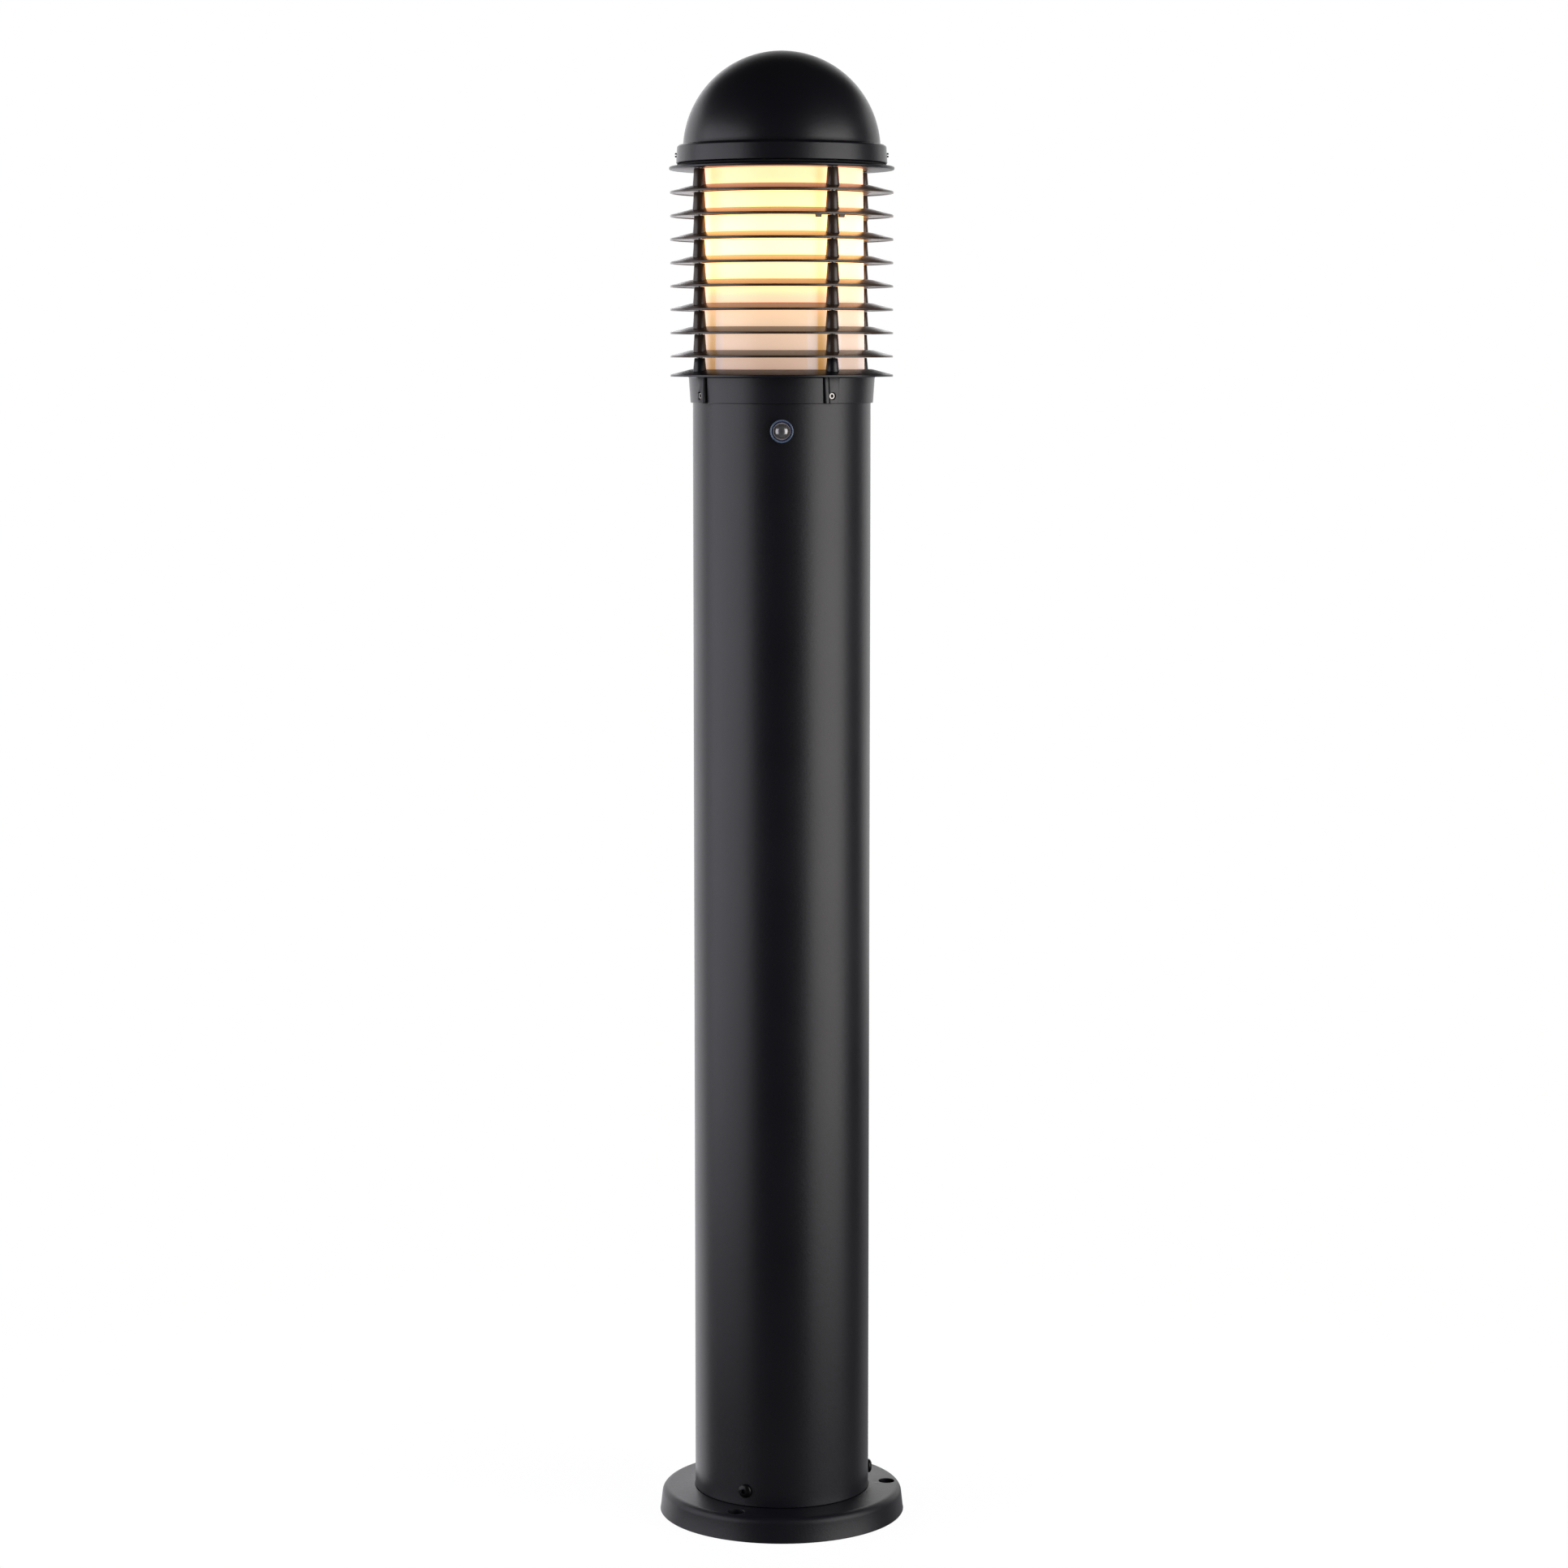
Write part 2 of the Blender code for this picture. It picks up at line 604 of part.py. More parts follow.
def collar():
    """Cast collar: a skirt over the post, a ledge on its end, the lowest fin and its short ribs."""
    ledge = LEDGE_Z - COLLAR_FIN_Z
    floor = LEDGE_TOP_Z - COLLAR_FIN_Z
    outline = [
        (RECESS_RADIUS, FIN_HEIGHT),
        *fin_outline()[1:],
        (COLLAR_TOP_RADIUS, 0),
        (COLLAR_FOOT_RADIUS, -COLLAR_SKIRT),
        (COLLAR_BORE, -COLLAR_SKIRT),
        (COLLAR_BORE, ledge),
        (LEDGE_BORE, ledge),
        (LEDGE_BORE, floor),
        (RECESS_RADIUS, floor),
    ]
    obj = turned("collar", outline, powder_coat("collar"), (0, 0, COLLAR_FIN_Z))
    for angle in RIB_ANGLES:
        combine(obj, collar_pad(angle), "UNION")
    combine(obj, rib_tool("collar_ribs", COLLAR_FIN_Z, LOUVRE_FIRST_Z), "UNION")
    bolts = bolt_holes("collar_bolt_holes", COLLAR_FIN_Z + BOLT_SEAT_RISE - FIT_GAP, LOUVRE_FIRST_Z)
    combine(obj, bolts, "DIFFERENCE")
    screw_z = COLLAR_FOOT_Z + COLLAR_SCREW_RISE
    ends = [
        (
            around(COLLAR_BORE - CUT_EXTRA, angle, screw_z),
            around(PAD_RADIUS + CUT_EXTRA, angle, screw_z),
        )
        for angle in RIB_ANGLES
    ]
    combine(obj, rods("collar_screw_holes", ends, COLLAR_SCREW_RADIUS + FIT_GAP), "DIFFERENCE")
    low = LEDGE_Z - CUT_EXTRA
    high = LEDGE_TOP_Z + CUT_EXTRA
    combine(obj, tray_screw_holes("ledge_screw_holes", low, high), "DIFFERENCE")
    return obj


def collar_screws():
    """Set screws through the collar's pads, which bear on the post."""
    top = PAD_RADIUS - POST_RADIUS - COLLAR_SCREW_SINK
    outline = [
        (0, top),
        (COLLAR_SCREW_RADIUS * (1 - SET_SCREW_EDGE), top),
        (COLLAR_SCREW_RADIUS, top - COLLAR_SCREW_RADIUS * SET_SCREW_EDGE),
        (COLLAR_SCREW_RADIUS, FIT_GAP),
        (0, FIT_GAP),
    ]
    for number, angle in enumerate(RIB_ANGLES, 1):
        name = f"collar_screw_{number}"
        place = around(POST_RADIUS, angle, COLLAR_FOOT_Z + COLLAR_SCREW_RISE)
        dress = bright_steel(name)
        depth = (top - FIT_GAP) / 2
        screw_with_key(name, outline, dress, place, outward(angle), COLLAR_SCREW_KEY, depth, top)


# ---- louvres, top plate and bolts ----
def louvre_rings():
    """The stack of louvre rings, each a sloped fin with its own tapered ribs."""
    outline = [*fin_outline(), (FIN_INNER, 0)]
    for number in range(1, LOUVRE_COUNT + 1):
        name = f"louvre_ring_{number}"
        seat = LOUVRE_FIRST_Z + (number - 1) * LOUVRE_PITCH
        above = seat + LOUVRE_PITCH
        obj = turned(name, outline, powder_coat(name), (0, 0, seat))
        combine(obj, rib_tool(f"{name}_ribs", seat, above), "UNION")
        combine(obj, bolt_holes(f"{name}_holes", seat - CUT_EXTRA, above + CUT_EXTRA), "DIFFERENCE")


def top_plate():
    """Flat plate that closes the stack, with two lugs for the cap's screws."""
    outline = [
        (PLATE_RADIUS, PLATE_THICKNESS),
        (PLATE_RADIUS, 0),
        (PLATE_OPENING, 0),
        (PLATE_OPENING, PLATE_THICKNESS),
    ]
    obj = turned("top_plate", outline, powder_coat("top_plate"), (0, 0, PLATE_Z))
    sunk = PLATE_THICKNESS / 2
    height = LUG_HEIGHT + sunk
    for side, angle in (("left", -90), ("right", 90)):
        centre = around(LUG_FACE - LUG_THICKNESS / 2, angle, PLATE_TOP_Z - sunk + height / 2)
        turn = Matrix.Rotation(radians(angle), 3, "Z")
        size = (LUG_WIDTH, LUG_THICKNESS, height)
        lug = block(f"lug_{side}", size, centre, rotation=turn, group=CUTTERS)
        combine(obj, lug, "UNION")
    holes = bolt_holes("plate_bolt_holes", PLATE_Z - CUT_EXTRA, PLATE_TOP_Z + CUT_EXTRA)
    combine(obj, holes, "DIFFERENCE")
    return obj


def tie_bolts():
    """Long bolts down through the ribs into the collar, which clamp the stack together."""
    tip = COLLAR_FIN_Z + BOLT_SEAT_RISE - PLATE_TOP_Z
    outline = [
        (0, FIT_GAP + BOLT_HEAD_HEIGHT),
        (BOLT_HEAD_RADIUS * BOLT_FLAT, FIT_GAP + BOLT_HEAD_HEIGHT),
        (BOLT_HEAD_RADIUS, FIT_GAP + BOLT_HEAD_HEIGHT / 2),
        (BOLT_HEAD_RADIUS, FIT_GAP),
        (BOLT_RADIUS, FIT_GAP),
        (BOLT_RADIUS, tip),
        (0, tip),
    ]
    for number, angle in enumerate(RIB_ANGLES, 1):
        name = f"tie_bolt_{number}"
        place = around(RIB_CIRCLE, angle, PLATE_TOP_Z)
        turned(name, outline, bright_steel(name), place, steps=TINY_STEPS)


# ---- cap ----
def cap():
    """Spun dome with a stepped skirt, closed on top and open underneath."""
    centre_z = SKIRT_DROP
    crease_z = SKIRT_HEIGHT
    crease_angle = asin((crease_z - centre_z) / DOME_RADIUS)
    dome = arc((0, centre_z), DOME_RADIUS, 90, crease_angle * 180 / pi, 6)
    dome[0] = (0, centre_z + DOME_RADIUS)
    inner_radius = DOME_RADIUS - CAP_WALL
    ceiling_z = crease_z - CAP_WALL
    inner_angle = asin((ceiling_z - centre_z) / inner_radius)
    inner = arc((0, centre_z), inner_radius, inner_angle * 180 / pi, 90, 5)
    inner[-1] = (0, centre_z + inner_radius)
    corner = (SKIRT_RADIUS - SKIRT_ROUND, crease_z - SKIRT_ROUND)
    outline = [
        *dome,
        *arc(corner, SKIRT_ROUND, 90, 0, 2),
        (SKIRT_RADIUS, 0),
        (SKIRT_BORE, 0),
        (SKIRT_BORE, ceiling_z),
        *inner,
    ]
    obj = turned("cap", outline, powder_coat("cap"), (0, 0, SKIRT_FOOT_Z))
    screw_z = SKIRT_FOOT_Z + CAP_SCREW_RISE
    ends = [
        (
            around(SKIRT_BORE - CUT_EXTRA, angle, screw_z),
            around(SKIRT_RADIUS + CUT_EXTRA, angle, screw_z),
        )
        for angle in (-90, 90)
    ]
    combine(obj, rods("cap_screw_holes", ends, CAP_SCREW_RADIUS + FIT_GAP), "DIFFERENCE")
    return obj


def cap_screw(side, angle):
    """Slotted set screw through the skirt, which bears on the top plate's lug."""
    name = f"cap_screw_{side}"
    length = CAP_SCREW_STAND + SKIRT_RADIUS - LUG_FACE - FIT_GAP
    outline = [
        (0, 0),
        (CAP_SCREW_RADIUS * (1 - SLOTTED_EDGE), 0),
        (CAP_SCREW_RADIUS, -CAP_SCREW_RADIUS * SLOTTED_EDGE),
        (CAP_SCREW_RADIUS, -length),
        (0, -length),
    ]
    place = around(SKIRT_RADIUS + CAP_SCREW_STAND, angle, SKIRT_FOOT_Z + CAP_SCREW_RISE)
    obj = turned(name, outline, black_steel(name), place, outward(angle), SMALL_STEPS)
    size = (4 * CAP_SCREW_RADIUS, CAP_SCREW_SLOT, 2 * CAP_SCREW_STAND)
    slot = block(f"{name}_slot", size, place, rotation=outward(angle), group=CUTTERS)
    combine(obj, slot, "DIFFERENCE")
    return obj


def cap_gasket():
    """Rubber ring in the shadow gap between the cap's skirt and the top plate."""
    thickness = CAP_GAP - 2 * FIT_GAP
    inner = SKIRT_BORE + FIT_GAP / 2
    outer = SKIRT_RADIUS - GASKET_SETBACK
    outline = [(outer, thickness), (outer, 0), (inner, 0), (inner, thickness)]
    place = (0, 0, PLATE_TOP_Z + FIT_GAP)
    return turned("cap_gasket", outline, black_rubber("cap_gasket"), place)


# ---- diffuser ----
def diffuser():
    """Slightly tapered opal tube, open at both ends."""
    height = DIFFUSER_TOP_Z - DIFFUSER_FOOT_Z
    outline = [
        (DIFFUSER_TOP_RADIUS, height),
        (DIFFUSER_FOOT_RADIUS, 0),
        (DIFFUSER_FOOT_RADIUS - DIFFUSER_WALL, 0),
        (DIFFUSER_TOP_RADIUS - DIFFUSER_WALL, height),
    ]
    dress = finish("diffuser_opal", (0.95, 0.88, 0.66), 0.35, alpha=0.9, glow=1.0)
    return turned("diffuser", outline, dress, (0, 0, DIFFUSER_FOOT_Z))


def diffuser_seal():
    """Flat rubber ring under the diffuser."""
    outer = RECESS_RADIUS - FIT_GAP
    outline = [
        (outer, SEAL_THICKNESS),
        (outer, 0),
        (SEAL_BORE, 0),
        (SEAL_BORE, SEAL_THICKNESS),
    ]
    return turned("diffuser_seal", outline, black_rubber("diffuser_seal"), (0, 0, SEAL_Z))


def reflector():
    """White dished disc that closes the diffuser's top."""
    edge = RIB_CIRCLE - BOLT_HEAD_RADIUS - BOLT_HEAD_ROOM
    inner = DIFFUSER_TOP_RADIUS - DIFFUSER_WALL
    outline = [
        (0, REFLECTOR_RISE + REFLECTOR_THICKNESS),
        (inner, REFLECTOR_THICKNESS),
        (edge, REFLECTOR_THICKNESS),
        (edge, 0),
        (inner, 0),
        (0, REFLECTOR_RISE),
    ]
    dress = finish("reflector_white_enamel", (0.85, 0.85, 0.83), 0.4)
    return turned("reflector", outline, dress, (0, 0, PLATE_TOP_Z + FIT_GAP))


# ---- gear tray and lamp ----
def tray_screw_angles():
    """Where the tray's screws stand, clear of the terminal block behind the axis."""
    return [360 / TRAY_SCREW_COUNT * (turn + 0.5) for turn in range(TRAY_SCREW_COUNT)]


def tray_screw_holes(name, low_z, high_z):
    """Holes for the tray's screws, in the tray and in the collar's ledge."""
    ends = [
        (around(TRAY_SCREW_CIRCLE, angle, low_z), around(TRAY_SCREW_CIRCLE, angle, high_z))
        for angle in tray_screw_angles()
    ]
    return rods(name, ends, TRAY_SCREW_RADIUS + FIT_GAP, steps=TINY_STEPS)


def terminal_screw_places():
    """Where the terminal block's two screws pass through the tray."""
    return [(side * TERMINAL_SCREW_SPACING / 2, TERMINAL_OFFSET) for side in (-1, 1)]


def upright_holes(name, places, radius, low_z, high_z):
    """Upright holes at these (x, y) places."""
    ends = [((*place, low_z), (*place, high_z)) for place in places]
    return rods(name, ends, radius, steps=TINY_STEPS)


def gear_tray():
    """Zinc-plated disc on the collar's ledge, which carries the lampholder and the terminal block."""
    outline = [(0, TRAY_THICKNESS), (TRAY_RADIUS, TRAY_THICKNESS), (TRAY_RADIUS, 0), (0, 0)]
    obj = turned("gear_tray", outline, bright_steel("gear_tray"), (0, 0, TRAY_Z))
    low = TRAY_Z - CUT_EXTRA
    high = TRAY_TOP_Z + CUT_EXTRA
    combine(obj, tray_screw_holes("tray_screw_holes", low, high), "DIFFERENCE")
    grommet_hole = [((0, -GROMMET_OFFSET, low), (0, -GROMMET_OFFSET, high))]
    combine(obj, rods("grommet_hole", grommet_hole, GROMMET_HOLE_RADIUS), "DIFFERENCE")
    small = TRAY_SCREW_RADIUS + FIT_GAP
    places = [*terminal_screw_places(), EARTH_OFFSET, *bracket_screw_places()]
    combine(obj, upright_holes("tray_small_holes", places, small, low, high), "DIFFERENCE")
    return obj


def pan_screw(name, place, length):
    """Small pan-head screw, its head's seat at this place."""
    top = FIT_GAP + TRAY_SCREW_HEAD_HEIGHT
    outline = [
        (0, top),
        (TRAY_SCREW_HEAD_RADIUS * PAN_FLAT, top),
        (TRAY_SCREW_HEAD_RADIUS, FIT_GAP + TRAY_SCREW_HEAD_HEIGHT / 2),
        (TRAY_SCREW_HEAD_RADIUS, FIT_GAP),
        (TRAY_SCREW_RADIUS, FIT_GAP),
        (TRAY_SCREW_RADIUS, -length),
        (0, -length),
    ]
    return turned(name, outline, bright_steel(name), place, steps=TINY_STEPS)


def tray_screws():
    """Screws that hold the tray to the ledge, and the earth screw."""
    for number, angle in enumerate(tray_screw_angles(), 1):
        place = around(TRAY_SCREW_CIRCLE, angle, TRAY_TOP_Z)
        length = TRAY_THICKNESS + LEDGE_THICKNESS * TRAY_SCREW_BITE
        pan_screw(f"tray_screw_{number}", place, length)
    pan_screw("earth_screw", (*EARTH_OFFSET, TRAY_TOP_Z), TRAY_THICKNESS + LEDGE_THICKNESS)


def tray_grommet():
    """Grooved rubber grommet in the tray, for the two lamp leads."""
    lip = GROMMET_HOLE_RADIUS + GROMMET_LIP
    neck = GROMMET_HOLE_RADIUS - FIT_GAP
    top = TRAY_THICKNESS + FIT_GAP
    outline = [
        (lip, top + GROMMET_LIP),
        (lip, top),
        (neck, top),
        (neck, -FIT_GAP),
        (lip, -FIT_GAP),
        (lip, -FIT_GAP - GROMMET_LIP),
        (GROMMET_BORE, -FIT_GAP - GROMMET_LIP),
        (GROMMET_BORE, top + GROMMET_LIP),
    ]
    place = (0, -GROMMET_OFFSET, TRAY_Z)
    return turned("tray_grommet", outline, black_rubber("tray_grommet"), place, steps=SMALL_STEPS)


def bracket_screw_places():
    """Where the holder bracket's feet are screwed to the tray."""
    middle = BRACKET_HALF_TOP + BRACKET_FOOT / 2
    return [(-middle, 0), (middle, 0)]


def holder_bracket():
    """Folded steel strip that lifts the lampholder above the tray."""
    half = BRACKET_HALF_TOP
    foot = half + BRACKET_FOOT
    sheet = BRACKET_SHEET
    side = [
        (half, BRACKET_HEIGHT),
        (half, sheet),
        (foot, sheet),
        (foot, 0),
        (half - sheet, 0),
        (half - sheet, BRACKET_HEIGHT - sheet),
    ]
    outline = side + [(-x, z) for x, z in reversed(side)]
    curve = bpy.data.curves.new("holder_bracket", "CURVE")
    curve.dimensions = "2D"
    curve.fill_mode = "BOTH"
    curve.extrude = BRACKET_WIDTH / 2
    spline = curve.splines.new("POLY")
    spline.use_cyclic_u = True
    spline.points.add(len(outline) - 1)
    for knot, (x, z) in zip(spline.points, outline, strict=True):
        knot.co = (x, z, 0, 1)
    stand = Matrix.Rotation(pi / 2, 3, "X")
    drawn = add_object("bracket_outline", curve, None, (0, 0, BRACKET_Z), stand, CUTTERS)
    obj = meshed(drawn, "holder_bracket", bright_steel("holder_bracket"))
    low = BRACKET_Z - CUT_EXTRA
    high = BRACKET_Z + CUT_EXTRA
    small = TRAY_SCREW_RADIUS + FIT_GAP
    feet = upright_holes("bracket_foot_holes", bracket_screw_places(), small, low, high)
    combine(obj, feet, "DIFFERENCE")
    top = BRACKET_Z + BRACKET_HEIGHT
    nipple = [((0, 0, top - CUT_EXTRA), (0, 0, top + CUT_EXTRA))]
    combine(obj, rods("nipple_hole", nipple, NIPPLE_RADIUS + FIT_GAP), "DIFFERENCE")
    for number, place in enumerate(bracket_screw_places(), 1):
        seat = (*place, BRACKET_Z + sheet)
        pan_screw(f"bracket_screw_{number}", seat, sheet + FIT_GAP + TRAY_THICKNESS)
    return obj


def meshed(drawn, name, dress):
    """Turn a curve object into a closed mesh object, so that it can be cut."""
    bpy.context.view_layer.update()
    graph = bpy.context.evaluated_depsgraph_get()
    mesh = bpy.data.meshes.new_from_object(drawn.evaluated_get(graph))
    shape = bmesh.new()
    shape.from_mesh(mesh)
    bmesh.ops.remove_doubles(shape, verts=shape.verts, dist=MERGE_DISTANCE)
    shape.to_mesh(mesh)
    shape.free()
    obj = add_object(name, mesh, dress)
    obj.matrix_world = drawn.matrix_world
    bpy.data.objects.remove(drawn)
    return obj


def lampholder():
    """Moulded lampholder cup with a hollow threaded nipple below."""
    outline = [
        (HOLDER_RADIUS, HOLDER_HEIGHT),
        (HOLDER_RADIUS, HOLDER_FLOOR),
        (HOLDER_RADIUS * HOLDER_FOOT, 0),
        (NIPPLE_RADIUS, 0),
        (NIPPLE_RADIUS, -NIPPLE_LENGTH),
        (0, -NIPPLE_LENGTH),
    ]
    inside = [(0, HOLDER_FLOOR), (HOLDER_BORE, HOLDER_FLOOR), (HOLDER_BORE, HOLDER_HEIGHT)]
    dress = finish("lampholder_moulding", (0.78, 0.77, 0.73), 0.5)
    place = (0, 0, HOLDER_Z)
    return turned("lampholder", outline + inside, dress, place, steps=MEDIUM_STEPS)


def holder_nut():
    """Hexagon nut on the nipple, under the bracket."""
    top = BRACKET_Z + BRACKET_HEIGHT - BRACKET_SHEET - FIT_GAP
    radius = NIPPLE_NUT_FLATS / 2 / cos(pi / HEXAGON)
    return hex_nut("holder_nut", radius, NIPPLE_RADIUS, NIPPLE_NUT_HEIGHT, (0, 0, top))


def hex_nut(name, corner_radius, bore, height, place, rotation=None):
    """A hexagon nut, its outer face at this place."""
    bore_radius = bore + FIT_GAP
    outline = [(0, 0), (corner_radius, 0), (corner_radius, -height), (0, -height)]
    obj = turned(name, outline, bright_steel(name), place, rotation, HEXAGON)
    turn = rotation.to_4x4() if rotation is not None else Matrix.Identity(4)
    at = Matrix.Translation(place) @ turn
    low = at @ Vector((0, 0, -height - CUT_EXTRA))
    high = at @ Vector((0, 0, CUT_EXTRA))
    combine(obj, rods(f"{name}_bore", [(low, high)], bore_radius, steps=SENSOR_STEPS), "DIFFERENCE")
    return obj


def holder_contact():
    """Centre contact on the lampholder's floor."""
    centre = (0, 0, HOLDER_Z + HOLDER_FLOOR + FIT_GAP + CONTACT_SIZE[2] / 2)
    dress = finish("holder_contact_brass", (0.60, 0.42, 0.16), 0.35, 1.0)
    return block("holder_contact", CONTACT_SIZE, centre, dress)


def lamp_cap():
    """Screw cap of the lamp."""
    length = LAMP_CAP_LENGTH
    tip = LAMP_CAP_RADIUS * LAMP_TIP
    outline = [
        (0, length),
        (LAMP_CAP_RADIUS, length),
        (LAMP_CAP_RADIUS, LAMP_CONE_RISE * length),
        (tip, LAMP_TIP_RISE * length),
        (tip, 0),
        (0, 0),
    ]
    place = (0, 0, LAMP_CAP_Z)
    return turned("lamp_cap", outline, bright_steel("lamp_cap"), place, steps=MEDIUM_STEPS)


def lamp_body():
    """Opaque driver housing of the lamp."""
    height = LAMP_BODY_HEIGHT
    outline = [
        (0, height),
        (LAMP_BODY_RADIUS, height),
        (LAMP_BODY_RADIUS, LAMP_BODY_FLARE * height),
        (LAMP_CAP_RADIUS * LAMP_BODY_NECK, 0),
        (0, 0),
    ]
    dress = finish("lamp_body_white", (0.82, 0.82, 0.80), 0.45)
    return turned("lamp_body", outline, dress, (0, 0, LAMP_BODY_Z), steps=MEDIUM_STEPS)


def lamp_globe():
    """Opal globe of the lamp, cut flat where it meets the housing."""
    centre = sqrt(GLOBE_RADIUS**2 - LAMP_BODY_RADIUS**2)
    cut = -asin(centre / GLOBE_RADIUS) * 180 / pi
    curve = arc((0, centre), GLOBE_RADIUS, 90, cut, 6)
    curve[0] = (0, centre + GLOBE_RADIUS)
    dress = finish("lamp_globe_opal", (1.0, 0.90, 0.70), 0.3, glow=8.0)
    place = (0, 0, GLOBE_SEAT_Z)
    return turned("lamp_globe", [*curve, (0, 0)], dress, place, steps=MEDIUM_STEPS)


# ---- wiring ----
def terminal_block():
    """Three-way terminal block under the tray."""
    centre = (0, TERMINAL_OFFSET, TERMINAL_TOP_Z - TERMINAL_SIZE[2] / 2)
    dress = finish("terminal_block_nylon", (0.80, 0.79, 0.74), 0.5)
    obj = block("terminal_block", TERMINAL_SIZE, centre, dress)
    soften(obj, TERMINAL_EDGE)
    low = TERMINAL_TOP_Z - TERMINAL_SIZE[2] / 2
    high = TERMINAL_TOP_Z + CUT_EXTRA
    small = TRAY_SCREW_RADIUS + FIT_GAP
    holes = upright_holes("terminal_holes", terminal_screw_places(), small, low, high)
    combine(obj, holes, "DIFFERENCE")
    for number, place in enumerate(terminal_screw_places(), 1):
        seat = (*place, TRAY_TOP_Z)
        pan_screw(f"terminal_screw_{number}", seat, TRAY_THICKNESS + TERMINAL_SIZE[2] / 3)
    return obj


def lamp_lead(name, side, color):
    """One of the two leads from the terminal block, through the grommet, to the lampholder."""
    block_face = TERMINAL_OFFSET - TERMINAL_SIZE[1] / 2 - 2 * FIT_GAP
    block_z = TERMINAL_TOP_Z - TERMINAL_SIZE[2] / 2
    entry_z = HOLDER_Z + HOLDER_FLOOR + 2 * LEAD_RADIUS
    offset = side * 0.0017
    entry_x = side * 0.005
    entry_y = -sqrt((HOLDER_RADIUS + FIT_GAP) ** 2 - (abs(entry_x) + LEAD_RADIUS) ** 2) - FIT_GAP * 3
    route = [
        (side * 0.006, block_face, block_z),
        (side * 0.005, block_face - 0.010, block_z - 0.002),
        (side * 0.002, -GROMMET_OFFSET + 0.008, block_z - 0.002),
        (offset, -GROMMET_OFFSET, TRAY_Z - 0.001),
        (offset, -GROMMET_OFFSET, TRAY_TOP_Z + 0.004),
        (side * 0.004, entry_y - 0.006, HOLDER_Z - 0.004),
        (entry_x, entry_y - 0.003, entry_z - 0.001),
        (entry_x, entry_y, entry_z),
    ]
    return lead(name, route, color)


def sensor_lead():
    """Lead from the light sensor's inner end up to the terminal block."""
    inner_end = POST_RADIUS - SENSOR_BODY_LENGTH
    block_face = TERMINAL_OFFSET - TERMINAL_SIZE[1] / 2 - 2 * FIT_GAP
    block_low = TERMINAL_TOP_Z - TERMINAL_SIZE[2] + 2 * LEAD_RADIUS
    route = [
        (0, -inner_end + 2 * FIT_GAP, SENSOR_Z),
        (0, -inner_end + 0.008, SENSOR_Z),
        (0, -0.012, SENSOR_Z + 0.006),
        (0, block_face - 0.006, block_low),
        (0, block_face, block_low),
    ]
    return lead("lead_sensor", route, (0.02, 0.02, 0.02))


def earth_lead():
    """Earth lead from the terminal block to the tray's earth screw."""
    end_x = TERMINAL_SIZE[0] / 2 + 2 * FIT_GAP
    low = TERMINAL_TOP_Z - TERMINAL_SIZE[2] / 2
    screw_x, screw_y = EARTH_OFFSET
    tip = TRAY_Z - LEDGE_THICKNESS - FIT_GAP
    route = [
        (end_x, TERMINAL_OFFSET, low),
        (end_x + 0.006, TERMINAL_OFFSET, low),
        (screw_x - 0.001, screw_y + 0.012, tip - 0.006),
        (screw_x, screw_y, tip - 0.005),
        (screw_x, screw_y, tip - FIT_GAP),
    ]
    return lead("lead_earth", route, (0.25, 0.45, 0.08))


# ---- light sensor ----
def sensor_place(reach=0.0):
    """A point on the sensor's axis, this far outside the post's face."""
    return around(POST_RADIUS + reach, 0, SENSOR_Z)


def sensor_seal():
    """Rubber washer between the sensor's flange and the post."""
    outer = SENSOR_FLANGE_RADIUS - FIT_GAP
    inner = SENSOR_SHANK_RADIUS + FIT_GAP
    top = SENSOR_SEAL_HEIGHT
    outline = [(outer, top), (outer, 0), (inner, 0), (inner, top)]
    place = sensor_place(FIT_GAP)
    dress = black_rubber("sensor_seal")
    return turned("sensor_seal", outline, dress, place, outward(0), SENSOR_STEPS)


def sensor_bezel():
    """Clear flanged bush, screwed into the post, which holds the sensor's lens."""
    lens_seat = SENSOR_LENS_RADIUS + FIT_GAP
    bore = SENSOR_BODY_RADIUS + FIT_GAP
    front = SENSOR_FLANGE_HEIGHT
    floor = front * SENSOR_FLOOR
    outline = [
        (SENSOR_FLANGE_RADIUS - SENSOR_FLANGE_EDGE, front),
        (SENSOR_FLANGE_RADIUS, front - SENSOR_FLANGE_EDGE),
        (SENSOR_FLANGE_RADIUS, 0),
        (SENSOR_SHANK_RADIUS, 0),
        (SENSOR_SHANK_RADIUS, -SENSOR_SHANK_LENGTH),
        (bore, -SENSOR_SHANK_LENGTH),
        (bore, floor),
        (lens_seat, floor),
        (lens_seat, front),
    ]
    dress = finish("sensor_bezel_clear", (0.55, 0.62, 0.68), 0.15, alpha=0.85)
    place = sensor_place(2 * FIT_GAP + SENSOR_SEAL_HEIGHT)
    return turned("sensor_bezel", outline, dress, place, outward(0), SENSOR_STEPS)


def sensor_lens():
    """Domed lens of the light sensor."""
    floor = SENSOR_FLANGE_HEIGHT * SENSOR_FLOOR + FIT_GAP
    shoulder = SENSOR_FLANGE_HEIGHT - FIT_GAP
    dome = arc((0, shoulder), SENSOR_DOME_RADIUS, 90, 0, 4)
    dome[0] = (0, shoulder + SENSOR_DOME_RADIUS)
    outline = [*dome, (SENSOR_LENS_RADIUS, shoulder), (SENSOR_LENS_RADIUS, floor), (0, floor)]
    dress = finish("sensor_lens_smoked", (0.20, 0.25, 0.30), 0.08, alpha=0.9)
    place = sensor_place(2 * FIT_GAP + SENSOR_SEAL_HEIGHT)
    return turned("sensor_lens", outline, dress, place, outward(0), SENSOR_STEPS)


